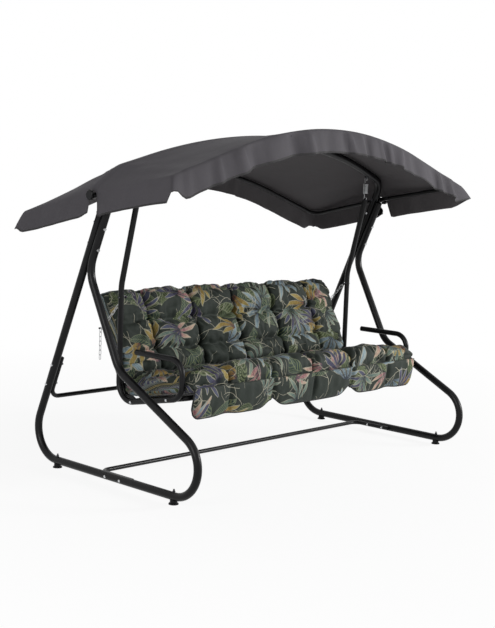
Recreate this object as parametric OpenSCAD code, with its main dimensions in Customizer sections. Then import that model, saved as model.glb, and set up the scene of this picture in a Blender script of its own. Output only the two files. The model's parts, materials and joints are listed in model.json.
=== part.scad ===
// Three-seat garden swing with a reclining back and a tilting fabric canopy.
// X runs along the bench, the sitters face -Y and Z is up from the floor.
// Lengths are in millimetres. In the modules Y = 0 lies midway between the feet;
// place() then moves the whole object so that its outline is centred on the origin.

/* [Side frames] */
// Distance between the centre lines of the two side frames
frame_w = 2000; // [1600:10:2200]
// Outer diameter of the side frame and crossbeam tubes
tube_d = 38; // [34:1:42]
// Wall thickness of the frame tubes
tube_wall = 1.5; // [1.2:0.1:2.5]
// Length of a floor runner, between its two virtual corners
runner_len = 1684; // [1600:4:1760]
// Distance between the front and the rear foot
foot_pitch = 848; // [780:4:880]
// Lean of the rear leg from the vertical, in degrees
leg_lean = 23.4; // [21:0.2:26]
// Bend radius at the rear floor corner
rear_bend_r = 150; // [120:5:180]
// Bend radius at the front floor corner
front_bend_r = 143; // [120:1:150]
// Height of the lower knee of the front leg above the runner
knee_h = 511; // [480:1:540]
// Lean of the front leg below the knee, in degrees
shin_lean = 62.8; // [61:0.2:64]
// How far the front leg's top end stays below the top of the rear leg
lap_top_gap = 35; // [30:1:60]
// Bend radius of both knees
knee_r = 150; // [120:5:200]
// Length of the front leg that lies along the rear leg
lap_len = 372; // [300:1:400]
// Length of the rear leg along its slope, from the floor corner
rear_leg_len = 1464; // [1400:2:1500]

/* [Crossbeam] */
// Height of the beam's virtual shoulder, along the slope of the leg
shoulder_s = 1542; // [1530:1:1580]
// Bend radius of the beam's shoulders
shoulder_r = 104; // [90:1:105]
// Radius of the beam's arch
arch_r = 2420; // [2200:10:2600]
// Slope of the arch's straight ends, in degrees
arch_slope = 19.3; // [18:0.1:21]
// Length of the beam's reduced end inside the rear leg
spigot_len = 150; // [135:5:200]

/* [Braces] */
// Outer diameter of the floor stretcher and the rear crossbar
brace_d = 22; // [18:1:26]
// Distance of the floor stretcher in front of the rear foot
stretcher_y = 294; // [270:1:330]
// Length of a stretcher end that lies along the runner
stretcher_lap = 235; // [200:5:260]
// Height of the rear crossbar, along the slope of the leg
crossbar_s = 325; // [300:1:360]
// Length of a crossbar end that lies along the rear leg
crossbar_lap = 226; // [200:2:260]
// Bend radius of the brace ends
brace_r = 52; // [40:1:60]

/* [Feet and bolts] */
// Diameter of a foot
foot_d = 46; // [40:1:56]
// Height of a foot below the runner
foot_h = 17; // [12:1:24]
// Diameter of the frame bolts
bolt_d = 8; // [6:1:8]
// Diameter of the bolt heads
head_d = 15; // [13:0.5:18]

/* [Suspension] */
// Distance between the centre lines of the two side arms
arm_w = 1700; // [1500:10:1740]
// Drop from the beam's centre line to the hook of the suspension spring
eye_drop = 34; // [33:1:44]
// Outer diameter of a spring
spring_d = 31; // [26:1:36]
// Wire diameter of a spring
spring_wire = 3.8; // [3:0.1:4.2]
// Number of curls in a spring
spring_turns = 12; // [8:1:14]
// Distance between the two hook centres of a spring
spring_len = 108; // [108:1:130]

/* [Side arms] */
// Outer diameter of the side arm tubes
arm_d = 28; // [25:1:32]
// Wall thickness of the side arm and seat tubes
arm_wall = 1.5; // [1.2:0.1:2]
// Height of the bend in the hanger
hanger_bend_z = 922; // [880:2:960]
// Rearward travel of the hanger between the hook and its bend
hanger_sweep = 105; // [80:1:130]
// Height of the seat rail at its rear corner
rail_z = 351; // [330:1:380]
// Slope of the seat rail, in degrees
rail_slope = 11; // [6:0.5:14]
// Length of the seat rail, measured level
rail_len = 445; // [420:1:480]
// Height of the armrest
armrest_z = 614; // [580:2:640]
// Level length of the armrest, from the front post
armrest_len = 320; // [280:1:330]
// Bend radius of the rear seat corner
seat_bend_r = 88; // [70:2:100]
// Bend radius of the armrest's front bends
armrest_r = 74; // [60:1:82]

/* [Seat and backrest] */
// Outer diameter of the seat and backrest frame tubes
seat_d = 25; // [22:1:28]
// Diameter of the grid wires
wire_d = 4; // [3:0.5:5]
// Number of grid wires from front to rear
wire_count = 18; // [12:1:20]
// Lean of the backrest from the vertical, in degrees
back_lean = 28.5; // [22:0.5:32]
// Height of the backrest frame, along its slope
back_len = 512; // [480:2:540]
// Thickness of the seat cushion at its crowns
seat_pad_t = 104; // [80:2:120]
// Thickness of the backrest cushion at its crowns
back_pad_t = 84; // [76:2:96]
// Distance between the rows of tufts across the bench
tuft_x = 300; // [280:5:320]
// Length of a chain link
link_l = 29; // [25:1:32]
// Wire diameter of a chain link
link_wire = 3; // [2.5:0.1:3.5]

/* [Canopy] */
// How far the canopy reaches past the middle of each side frame
canopy_over = 78; // [75:1:100]
// Distance of the front bow in front of the feet's middle
bow_front_y = 438; // [400:2:460]
// Distance of the rear bow behind the feet's middle
bow_rear_y = 618; // [580:2:640]
// Height of the roof at the crown of the front bow
crown_z = 1703; // [1700:1:1740]
// Fall of the roof from the front bow to the rear bow
roof_fall = 200; // [160:5:220]
// Radius of the roof's arch
roof_r = 2050; // [1950:10:2200]
// Slope of the roof's straight ends, in degrees
roof_slope = 18.5; // [17:0.1:19]
// Drop of the valance
valance_drop = 115; // [90:1:130]
// Flare of the valance's lower edge
valance_flare = 38; // [20:2:50]
// Thickness of the cover
cover_t = 3; // [2:0.5:4]
// Outer diameter of the bow tubes
bow_d = 22; // [18:1:24]
// Diameter of the hand knobs
knob_d = 49; // [40:1:56]

/* [Hidden] */

$fn = 64;
gap = 0.3;                 // clearance between pieces that only rest on each other
fit = 0.05;                // running clearance of a shank in its hole

foot_set = 10.7;           // straight stretch of runner behind the rear foot's middle
frame_x = frame_w / 2;
runner_z = foot_h + tube_d / 2;
corner_y = foot_pitch / 2 + rear_foot_back();      // virtual rear floor corner

// Unit vector along the rear leg, and the one square to it that points rearward.
leg_dir = [0, -sin(leg_lean), cos(leg_lean)];
leg_back = [0, cos(leg_lean), sin(leg_lean)];

// A foot sits where the runner's straight stretch begins at the rear bend.
function rear_foot_back() = rear_bend_r * tan((90 + leg_lean) / 2) + foot_set;

rear_corner = [0, corner_y, runner_z];
front_corner = [0, corner_y - runner_len, runner_z];
lower_knee = front_corner + [0, knee_h * tan(shin_lean), knee_h];

// Point on the rear leg's centre line at distance s from the floor corner.
function leg_at(s) = rear_corner + s * leg_dir;

// The lapped stretch runs beside the rear leg, one tube in front of it.
lap_origin = rear_corner - tube_d * leg_back;
upper_knee_s = rear_leg_len - lap_top_gap - lap_len;
upper_knee = lap_origin + upper_knee_s * leg_dir;
lap_top = upper_knee + lap_len * leg_dir;

// The beam's arch, in the plane of the rear legs: s of its line at distance x from the middle.
arch_tip_s = shoulder_s + frame_x * tan(arch_slope);
arch_tangent_x = arch_r * sin(arch_slope);
arch_crown_s = arch_tip_s - arch_r * (1 / cos(arch_slope) - 1);
function beam_s(x) = abs(x) < arch_tangent_x
    ? arch_crown_s - arch_r + sqrt(arch_r * arch_r - x * x)
    : arch_tip_s - abs(x) * tan(arch_slope);
function beam_at(x) = leg_at(beam_s(x)) + [x, 0, 0];

// The swing's axis runs through the hooks of the springs.
arm_x = arm_w / 2;
axis_y = beam_at(arm_x)[1] - eye_drop * leg_dir[1];
axis_z = beam_at(arm_x)[2] - eye_drop * leg_dir[2];
hanger_top_y = axis_y;
hanger_top_z = axis_z - spring_len - 12.5;
post_y = hanger_top_y + hanger_sweep;             // the vertical stretch of the side arm
front_post_y = post_y - rail_len;
rail_rise = tan(rail_slope);
function rail_at(y) = rail_z + (post_y - y) * rail_rise;
armrest_end_y = front_post_y + armrest_len;

// Seat frame inside the side arms, and the hinge of the backrest behind it.
seat_x = arm_x - arm_d / 2 - gap - seat_d / 2;
seat_front_y = front_post_y + 5;
seat_rear_y = post_y - 52;
hinge_y = post_y + 8.5;
hinge_z = rail_z + 44;
back_x = seat_x - 18;
back_dir = [0, sin(back_lean), cos(back_lean)];
back_front = [0, -cos(back_lean), sin(back_lean)];
function back_at(s, out) = [0, hinge_y, hinge_z] + s * back_dir + out * back_front;

// Canopy: pivot at the top of the rear leg.
pivot_s = rear_leg_len - 32;
pivot = leg_at(pivot_s);
pivot_y = pivot[1];
pivot_z = pivot[2];
hub_x = frame_x + tube_d / 2 + gap;
hub_t = 15;
plate_t = 5;
canopy_x = frame_x + canopy_over;

// Front and rear extents of the whole object, which set the origin.
front_reach = front_corner[1] + front_bend_r / tan((90 - shin_lean) / 2) - front_bend_r - tube_d / 2;
rear_reach = bow_rear_y + valance_flare;
origin_y = (front_reach + rear_reach) / 2;

module place() {
    translate([0, -origin_y, 0])
        children();
}

// ---------- general shapes ----------

function unit(v) = v / norm(v);

// Matrix that carries the local axes to the given unit vectors, at an origin.
function basis(x, y, z, o) = [
    [x[0], y[0], z[0], o[0]],
    [x[1], y[1], z[1], o[1]],
    [x[2], y[2], z[2], o[2]],
    [0, 0, 0, 1]
];

function side_of(d) = unit(abs(d[0]) < 0.9 ? cross(d, [1, 0, 0]) : cross(d, [0, 1, 0]));

// Straight rod from a to b.
module rod(a, b, d) {
    dir = unit(b - a);
    x = side_of(dir);
    multmatrix(basis(x, cross(dir, x), dir, a))
        cylinder(h = norm(b - a), d = d);
}

// Straight rod from a to b with a hexagonal section.
module hex_rod(a, b, d) {
    dir = unit(b - a);
    x = side_of(dir);
    multmatrix(basis(x, cross(dir, x), dir, a))
        cylinder(h = norm(b - a), d = d, $fn = 6);
}

// Tangent length of the bend at point i of a path.
function turn_at(p, i) = acos(min(1, max(-1, unit(p[i] - p[i - 1]) * unit(p[i + 1] - p[i]))));
function tangent_at(p, r, i) = (i == 0 || i == len(p) - 1) ? 0 : r[i] * tan(turn_at(p, i) / 2);

// Straight stretches of a path reach a little way over the bends beside them, and the bends
// are drawn slightly thinner, so that the stretches join firmly.
reach = 0.8;
step = 0.12;

module stretches(p, r, d, over) {
    for (i = [0 : len(p) - 2]) {
        dir = unit(p[i + 1] - p[i]);
        from = p[i] + dir * (i == 0 ? -over : tangent_at(p, r, i) - reach);
        to = p[i + 1] - dir * (i == len(p) - 2 ? -over : tangent_at(p, r, i + 1) - reach);
        rod(from, to, d);
    }
}

module bends(p, r, d, bore) {
    for (i = [1 : len(p) - 2]) {
        before = unit(p[i] - p[i - 1]);
        after = unit(p[i + 1] - p[i]);
        inward = unit(after - before * (before * after));
        centre = p[i] - before * tangent_at(p, r, i) + inward * r[i];
        multmatrix(basis(-inward, before, cross(-inward, before), centre))
            rotate_extrude(angle = turn_at(p, i), $fn = 128)
                translate([r[i], 0])
                    difference() {
                        circle(d = d - step);
                        if (bore > 0)
                            circle(d = bore - step);
                    }
    }
}

// Round bar that follows points p, with bend radius r[i] at point i.
module bent_bar(p, r, d) {
    union() {
        stretches(p, r, d, 0);
        bends(p, r, d, 0);
    }
}

// The same path as a tube with open ends.
module bent_tube(p, r, d, wall) {
    inner = d - 2 * wall;
    union() {
        for (i = [0 : len(p) - 2]) {
            dir = unit(p[i + 1] - p[i]);
            from = p[i] + dir * (i == 0 ? 0 : tangent_at(p, r, i) - reach);
            to = p[i + 1] - dir * (i == len(p) - 2 ? 0 : tangent_at(p, r, i + 1) - reach);
            straight_tube(from, to, d, inner);
        }
        bends(p, r, d, inner);
    }
}

module straight_tube(a, b, d, bore) {
    dir = unit(b - a);
    difference() {
        rod(a, b, d);
        rod(a - dir, b + dir, bore);
    }
}

// Through bolt from a to b: head on a's side, nut on b's side, and its shank.
module through_bolt(a, b, head, shank) {
    dir = unit(b - a);
    rod(a - dir * head * 0.35, a, head);
    rod(a, b, shank);
    hex_rod(b, b + dir * head * 0.4, head * 0.95);
    rod(b + dir * head * 0.4, b + dir * head * 0.6, shank);
}

// Hole for a bolt from a to b.
module bolt_hole(a, b, shank) {
    dir = unit(b - a);
    rod(a - dir * 5, b + dir * 5, shank + 2 * fit);
}

module mirrored_pair() {
    children();
    mirror([1, 0, 0])
        children();
}

// Closed solid between two grids of points with equal counts.
// outer[i][j] and inner[i][j] hold the matching points of the two faces.
module grid_solid(outer, inner) {
    nu = len(outer);
    nv = len(outer[0]);
    pts = concat([for (row = outer) for (q = row) q], [for (row = inner) for (q = row) q]);
    base = nu * nv;
    function a(i, j) = i * nv + j;
    function b(i, j) = base + i * nv + j;
    faces = concat(
        [for (i = [0 : nu - 2]) for (j = [0 : nv - 2])
            each [[a(i, j), a(i, j + 1), a(i + 1, j + 1)], [a(i, j), a(i + 1, j + 1), a(i + 1, j)]]],
        [for (i = [0 : nu - 2]) for (j = [0 : nv - 2])
            each [[b(i, j), b(i + 1, j + 1), b(i, j + 1)], [b(i, j), b(i + 1, j), b(i + 1, j + 1)]]],
        [for (i = [0 : nu - 2])
            each [[a(i, 0), a(i + 1, 0), b(i + 1, 0)], [a(i, 0), b(i + 1, 0), b(i, 0)]]],
        [for (i = [0 : nu - 2])
            each [[a(i, nv - 1), b(i + 1, nv - 1), a(i + 1, nv - 1)],
                  [a(i, nv - 1), b(i, nv - 1), b(i + 1, nv - 1)]]],
        [for (j = [0 : nv - 2])
            each [[a(0, j), b(0, j + 1), a(0, j + 1)], [a(0, j), b(0, j), b(0, j + 1)]]],
        [for (j = [0 : nv - 2])
            each [[a(nu - 1, j), a(nu - 1, j + 1), b(nu - 1, j + 1)],
                  [a(nu - 1, j), b(nu - 1, j + 1), b(nu - 1, j)]]]
    );
    polyhedron(points = pts, faces = faces, convexity = 8);
}

// ---------- side frames ----------

module powder_coat() {
    color([0.09, 0.09, 0.10])
        children();
}

// Where the bolts go, as distances along the leg or as places on the runner.
lap_bolt_s = [upper_knee_s + 118, upper_knee_s + 228];
crossbar_bolt_s = [crossbar_s + 80, crossbar_s + 190];
stretcher_front_y = foot_pitch / 2 - stretcher_y;
runner_bolt_y = [stretcher_front_y - 97, stretcher_front_y - 202];
sleeve_bolt_s = rear_leg_len - 118;
runner_joint_y = stretcher_front_y - 150;

module leg_lap_bolt(s, through = false) {
    a = lap_origin + s * leg_dir - tube_d / 2 * leg_back;
    b = leg_at(s) + tube_d / 2 * leg_back;
    if (through)
        bolt_hole(a, b, bolt_d);
    else
        through_bolt(a, b, head_d, bolt_d);
}

module runner_bolt(y, through = false) {
    a = [-tube_d / 2, y, runner_z];
    b = [tube_d / 2 + brace_d, y, runner_z];
    if (through)
        bolt_hole(a, b, bolt_d - 2);
    else
        through_bolt(a, b, head_d - 2, bolt_d - 2);
}

module crossbar_bolt(s, through = false) {
    a = leg_at(s) - [tube_d / 2, 0, 0];
    b = leg_at(s) + [tube_d / 2 + brace_d, 0, 0];
    if (through)
        bolt_hole(a, b, bolt_d - 2);
    else
        through_bolt(a, b, head_d - 2, bolt_d - 2);
}

module sleeve_bolt(through = false) {
    a = leg_at(sleeve_bolt_s) - [tube_d / 2, 0, 0];
    b = leg_at(sleeve_bolt_s) + [tube_d / 2, 0, 0];
    if (through)
        bolt_hole(a, b, bolt_d - 2);
    else
        through_bolt(a, b, head_d - 2, bolt_d - 2);
}

module pivot_bolt_hole() {
    rod(pivot - [tube_d, 0, 0], pivot + [tube_d, 0, 0], bolt_d + 2 * fit);
}

module foot_hole(y) {
    rod([0, y, runner_z - tube_d], [0, y, runner_z + tube_d], bolt_d + 2 * fit);
}

// Left rear leg, its centre line in the plane X = 0. Its runner half ends in a sleeve.
module rear_leg() {
    difference() {
        bent_tube(
            [leg_at(rear_leg_len), rear_corner, [0, runner_joint_y, runner_z]],
            [0, rear_bend_r, 0], tube_d, tube_wall);
        for (s = lap_bolt_s)
            leg_lap_bolt(s, true);
        for (s = crossbar_bolt_s)
            crossbar_bolt(s, true);
        runner_bolt(runner_bolt_y[0], true);
        sleeve_bolt(true);
        pivot_bolt_hole();
        foot_hole(foot_pitch / 2);
    }
}

// Left front leg: its runner half ends in a spigot inside the rear leg's runner.
module front_leg() {
    spigot_d = tube_d - 2 * tube_wall - 2 * fit;
    difference() {
        union() {
            bent_tube(
                [lap_top, upper_knee, lower_knee, front_corner, [0, runner_joint_y, runner_z]],
                [0, knee_r, knee_r, front_bend_r, 0], tube_d, tube_wall);
            straight_tube([0, runner_joint_y - 6, runner_z], [0, runner_joint_y - 0.5, runner_z],
                tube_d - tube_wall, spigot_d - 2 * tube_wall);
            straight_tube([0, runner_joint_y - 3, runner_z], [0, runner_joint_y + 90, runner_z],
                spigot_d, spigot_d - 2 * tube_wall);
        }
        for (s = lap_bolt_s)
            leg_lap_bolt(s, true);
        for (y = runner_bolt_y)
            runner_bolt(y, true);
        foot_hole(-foot_pitch / 2);
        cap_bolt_hole();
    }
}

module left_front_leg() {
    powder_coat() place() translate([-frame_x, 0, 0]) front_leg();
}

module right_front_leg() {
    powder_coat() place() mirror([1, 0, 0]) translate([-frame_x, 0, 0]) front_leg();
}

module left_rear_leg() {
    powder_coat() place() translate([-frame_x, 0, 0]) rear_leg();
}

module right_rear_leg() {
    powder_coat() place() mirror([1, 0, 0]) translate([-frame_x, 0, 0]) rear_leg();
}

// Arched beam: its shoulders turn down and its reduced ends fit in the rear legs.
module crossbeam() {
    spigot_d = tube_d - 2 * tube_wall - 2 * fit;
    top = rear_leg_len + gap;
    shoulder = leg_at(shoulder_s);
    powder_coat() place()
        difference() {
            union() {
                bent_tube(
                    [leg_at(top) - [frame_x, 0, 0], shoulder - [frame_x, 0, 0], leg_at(arch_tip_s),
                     shoulder + [frame_x, 0, 0], leg_at(top) + [frame_x, 0, 0]],
                    [0, shoulder_r, arch_r, shoulder_r, 0], tube_d, tube_wall);
                mirrored_pair()
                    translate([frame_x, 0, 0]) {
                        straight_tube(leg_at(top + 0.5), leg_at(top + 3),
                            tube_d - tube_wall, spigot_d - 2 * tube_wall);
                        straight_tube(leg_at(top - spigot_len), leg_at(top + 2),
                            spigot_d, spigot_d - 2 * tube_wall);
                    }
            }
            mirrored_pair()
                translate([-frame_x, 0, 0]) {
                    sleeve_bolt(true);
                    pivot_bolt_hole();
                }
            mirrored_pair()
                bracket_bolt_hole();
        }
}

// ---------- braces ----------

brace_x = frame_x - tube_d / 2 - brace_d / 2;      // an end lies along the inner face of its tube

module floor_stretcher() {
    y0 = stretcher_front_y;
    powder_coat() place()
        difference() {
            bent_tube(
                [[-brace_x, y0 - stretcher_lap, runner_z], [-brace_x, y0, runner_z],
                 [brace_x, y0, runner_z], [brace_x, y0 - stretcher_lap, runner_z]],
                [0, brace_r, brace_r, 0], brace_d, tube_wall);
            mirrored_pair()
                translate([-frame_x, 0, 0])
                    for (y = runner_bolt_y)
                        runner_bolt(y, true);
        }
}

module rear_crossbar() {
    low = leg_at(crossbar_s);
    high = leg_at(crossbar_s + crossbar_lap);
    powder_coat() place()
        difference() {
            bent_tube(
                [high - [brace_x, 0, 0], low - [brace_x, 0, 0],
                 low + [brace_x, 0, 0], high + [brace_x, 0, 0]],
                [0, brace_r, brace_r, 0], brace_d, tube_wall);
            mirrored_pair()
                translate([-frame_x, 0, 0])
                    for (s = crossbar_bolt_s)
                        crossbar_bolt(s, true);
        }
}

// ---------- feet, plugs and bolts ----------

module black_plastic() {
    color([0.05, 0.05, 0.055])
        children();
}

// Foot: a disc on the floor with a saddle that takes the runner.
module foot(x, y) {
    saddle = foot_h + 7;
    black_plastic() place()
        translate([x, y, 0])
            difference() {
                union() {
                    cylinder(h = 4, d = foot_d);
                    translate([0, 0, 4])
                        cylinder(h = 3, d1 = foot_d, d2 = foot_d - 6);
                    cylinder(h = saddle, d = foot_d - 12);
                }
                translate([0, 0, runner_z])
                    rotate([90, 0, 0])
                        cylinder(h = foot_d + 2, d = tube_d + 2 * fit, center = true);
                translate([0, 0, -1])
                    cylinder(h = saddle, d = bolt_d + 2 * fit);
                translate([0, 0, -1])
                    cylinder(h = 7, d = head_d + 2, $fn = 32);
            }
}

module left_front_foot() { foot(-frame_x, -foot_pitch / 2); }
module right_front_foot() { foot(frame_x, -foot_pitch / 2); }
module left_rear_foot() { foot(-frame_x, foot_pitch / 2); }
module right_rear_foot() { foot(frame_x, foot_pitch / 2); }

module zinc() {
    color([0.62, 0.63, 0.65])
        children();
}

module dark_zinc() {
    color([0.12, 0.12, 0.13])
        children();
}

// Foot bolts: head in the foot's recess, domed nut on top of the runner.
module foot_bolts() {
    dark_zinc() place()
        for (x = [-frame_x, frame_x])
            for (y = [-foot_pitch / 2, foot_pitch / 2])
                translate([x, y, 0]) {
                    translate([0, 0, 6 - head_d * 0.3])
                        cylinder(h = head_d * 0.3, d = head_d);
                    translate([0, 0, 6])
                        cylinder(h = foot_h + tube_d + 8, d = bolt_d);
                    translate([0, 0, foot_h + tube_d])
                        cylinder(h = 6, d = head_d * 0.95, $fn = 6);
                }
}

module leg_bolts() {
    zinc() place()
        mirrored_pair()
            translate([-frame_x, 0, 0])
                for (s = lap_bolt_s)
                    leg_lap_bolt(s);
}

module runner_bolts() {
    zinc() place()
        mirrored_pair()
            translate([-frame_x, 0, 0])
                for (y = runner_bolt_y)
                    runner_bolt(y);
}

module crossbar_bolts() {
    zinc() place()
        mirrored_pair()
            translate([-frame_x, 0, 0])
                for (s = crossbar_bolt_s)
                    crossbar_bolt(s);
}

module beam_bolts() {
    zinc() place()
        mirrored_pair()
            translate([-frame_x, 0, 0])
                sleeve_bolt();
}

// Domed plug for a tube end at p, facing along d.
module tube_plug(p, d, dia, wall) {
    rod(p - d * 14, p + d * 2, dia - 2 * wall - 2 * fit);
    rod(p, p + d * 2.4, dia);
    rod(p + d * 2, p + d * 4, dia - 5);
}

module leg_plugs() {
    black_plastic() place()
        for (x = [-frame_x, frame_x])
            tube_plug(lap_top + [x, 0, 0], leg_dir, tube_d, tube_wall);
}

module brace_plugs() {
    black_plastic() place()
        for (x = [-brace_x, brace_x]) {
            tube_plug([x, stretcher_front_y - stretcher_lap, runner_z], [0, -1, 0], brace_d, tube_wall);
            tube_plug(leg_at(crossbar_s + crossbar_lap) + [x, 0, 0], leg_dir, brace_d, tube_wall);
        }
}

// Round caps on the outer side of the front legs, under the canopy's hubs.
cap_at = lap_top - 52 * leg_dir;
cap_d = 48;

module cap_bolt_hole() {
    rod(cap_at - [tube_d, 0, 0], cap_at, bolt_d + 2 * fit);
}

module leg_caps() {
    black_plastic() place()
        mirrored_pair()
            translate([-frame_x - tube_d / 2, cap_at[1], cap_at[2]])
                rotate([0, -90, 0]) {
                    translate([0, 0, gap]) {
                        cylinder(h = 12, d1 = 22, d2 = 26);
                        translate([0, 0, 12])
                            cylinder(h = 9, d = cap_d);
                        translate([0, 0, 21])
                            cylinder(h = 3, d1 = cap_d, d2 = cap_d - 8);
                    }
                    translate([0, 0, -14])
                        cylinder(h = 15, d = bolt_d);
                }
}

// ---------- suspension ----------

staple_r = 7.5;
staple_wire = 6;

module bracket_bolt_hole() {
    p = beam_at(arm_x);
    rod(p - tube_d * leg_dir, p + tube_d * leg_dir, bolt_d + 2 * fit);
}

// Staple whose round runs along X; its legs point up along local Z. The hook's centre is at 0.
module staple(leg) {
    translate([0, 0, 2 + staple_r]) {
        rotate([90, 0, 0])
            rotate_extrude(angle = -180)
                translate([staple_r, 0])
                    circle(d = staple_wire);
        for (x = [-staple_r, staple_r])
            translate([x, 0, 0])
                cylinder(h = leg, d = staple_wire);
    }
}

// Bracket under the beam: saddle, staple below it, and a stud through the beam.
module spring_bracket() {
    p = beam_at(arm_x);
    along = unit(beam_at(arm_x + 1) - beam_at(arm_x - 1));
    saddle = 24;
    difference() {
        union() {
            multmatrix(basis([1, 0, 0], leg_back, leg_dir, p - eye_drop * leg_dir))
                staple(eye_drop - tube_d / 2 - 4 - staple_r);
            rod(p - (tube_d / 2 + 4) * leg_dir, p - (tube_d / 2 - 6) * leg_dir, saddle);
            rod(p + (tube_d / 2 - 1) * leg_dir, p + (tube_d / 2 + 1.8) * leg_dir, head_d - 2);
        }
        rod(p - 60 * along, p + 60 * along, tube_d + 2 * fit);
    }
    rod(p - (tube_d / 2 + 2) * leg_dir, p + (tube_d / 2 + 1.5) * leg_dir, bolt_d);
}

module left_spring_bracket() {
    dark_zinc() place() mirror([1, 0, 0]) spring_bracket();
}

module right_spring_bracket() {
    dark_zinc() place() spring_bracket();
}

// Wire swept along points; its section is carried along the path without twist.
module swept_wire(p, d, sides) {
    n = len(p);
    function ahead(i) = unit(p[min(i + 1, n - 1)] - p[max(i - 1, 0)]);
    function carried(v, i) = unit(v - ahead(i) * (ahead(i) * v));
    frames = [for (i = 0, x = carried([1, 0.01, 0.02], 0); i < n;
        i = i + 1, x = i < n ? carried(x, i) : x) x];
    rings = [for (i = [0 : n - 1])
        let (x = frames[i], y = cross(ahead(i), x))
            [for (k = [0 : sides - 1]) let (a = 360 * k / sides)
                p[i] + d / 2 * (cos(a) * x + sin(a) * y)]];
    pts = [for (row = rings) for (q = row) q];
    faces = concat(
        [for (i = [0 : n - 2]) for (k = [0 : sides - 1])
            let (m = (k + 1) % sides)
                each [[i * sides + k, i * sides + m, (i + 1) * sides + m],
                      [i * sides + k, (i + 1) * sides + m, (i + 1) * sides + k]]],
        [[for (k = [sides - 1 : -1 : 0]) k]],
        [[for (k = [0 : sides - 1]) (n - 1) * sides + k]]
    );
    turned = [for (f = faces) [for (q = [len(f) - 1 : -1 : 0]) f[q]]];
    polyhedron(points = pts, faces = turned, convexity = 10);
}

// Spring: a hook at each end and curls between them. The upper hook's centre is at 0.
spring_r = (spring_d - spring_wire) / 2;
hook_r = 8;
hook_neck = 19;
coil_len = spring_len - 2 * (hook_r + hook_neck);
curl_pitch = coil_len / spring_turns;
coil_low = -spring_len + hook_r + hook_neck;
spring_path = concat(
    [for (a = [-150 : 25 : 100])
        [0, hook_r * sin(a), -spring_len - hook_r * cos(a)]],
    [[0, spring_r * 0.5, coil_low - 7]],
    [for (k = [0 : 8 * spring_turns])
        [spring_r * sin(45 * k), spring_r * cos(45 * k), coil_low + curl_pitch * k / 8]],
    [[0, spring_r * 0.5, coil_low + coil_len + 7]],
    [for (a = [100 : -25 : -150])
        [0, hook_r * sin(a), hook_r * cos(a)]]
);

// Least distance between parts of the wire that are more than half a curl apart.
spring_gap = min([for (i = [0 : len(spring_path) - 6]) for (j = [i + 5 : len(spring_path) - 1])
    norm(spring_path[i] - spring_path[j])]) - spring_wire;
echo(str("Least gap between the curls of a spring, in mm: ", spring_gap));

module suspension_spring() {
    translate([arm_x, axis_y, axis_z])
        swept_wire(spring_path, spring_wire, 6);
}

module left_spring() {
    zinc() place() mirror([1, 0, 0]) suspension_spring();
}

module right_spring() {
    zinc() place() suspension_spring();
}

// ---------- side arms ----------

hanger_top = [0, hanger_top_y, hanger_top_z];
hanger_bend = [0, post_y, hanger_bend_z];
seat_corner = [0, post_y, rail_z];
front_low = [0, front_post_y, rail_at(front_post_y)];
front_high = [0, front_post_y, armrest_z];
armrest_end = [0, armrest_end_y, armrest_z];
seat_bolt_y = [post_y - 104, post_y - rail_len + 90];
chain_bolt_z = hanger_bend_z - 58;
chain_bolt_y = post_y;

module seat_bolt(y, through = false) {
    a = [-arm_d / 2, y, rail_at(y)];
    b = [arm_d / 2 + gap + seat_d, y, rail_at(y)];
    if (through)
        bolt_hole(a, b, bolt_d - 2);
    else
        through_bolt(a, b, head_d - 3, bolt_d - 2);
}

module side_arm() {
    difference() {
        bent_tube(
            [hanger_top, hanger_bend, seat_corner, front_low, front_high, armrest_end],
            [0, 200, seat_bend_r, armrest_r, armrest_r, 0], arm_d, arm_wall);
        for (y = seat_bolt_y)
            seat_bolt(y, true);
        rod([-arm_d, chain_bolt_y, chain_bolt_z], [arm_d, chain_bolt_y, chain_bolt_z],
            bolt_d - 2 + 2 * fit);
    }
}

module left_side_arm() {
    powder_coat() place() translate([-arm_x, 0, 0]) side_arm();
}

module right_side_arm() {
    powder_coat() place() mirror([1, 0, 0]) translate([-arm_x, 0, 0]) side_arm();
}

module arm_plugs() {
    black_plastic() place()
        for (x = [-arm_x, arm_x])
            tube_plug(armrest_end + [x, 0, 0], [0, 1, 0], arm_d, arm_wall);
}

// Plug pressed in the top of each hanger, with a staple that hangs on the spring.
hanger_dir = unit(hanger_top - hanger_bend);

module hanger_eye() {
    rod(hanger_top - hanger_dir * 20, hanger_top, arm_d - 2 * arm_wall - 2 * fit);
    rod(hanger_top, hanger_top + hanger_dir * 2, arm_d - 2);
    translate([0, axis_y, axis_z - spring_len])
        rotate([180, 0, 0])
            staple(12.5 - 2 - staple_r + 1);
}

module hanger_eyes() {
    dark_zinc() place()
        for (x = [-arm_x, arm_x])
            translate([x, 0, 0])
                hanger_eye();
}

// ---------- seat ----------

seat_n = [0, sin(rail_slope), cos(rail_slope)];     // square to the seat, upward
seat_along = [0, -cos(rail_slope), sin(rail_slope)]; // along the seat, forward
function seat_at(y, up) = [0, y, rail_at(y)] + up * seat_n;

grid_up = seat_d / 2 + wire_d / 2 + fit;           // the wires lie on top of the frame tubes
pad_rest = 0.85;                                   // air below the cushions, less on the sloped seat
pad_up = grid_up + 1.5 * wire_d + pad_rest;        // underside of the cushions
ear_t = 5;
ear_x = back_x - seat_d / 2 - 0.6;                 // outer face of a hinge ear

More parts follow.
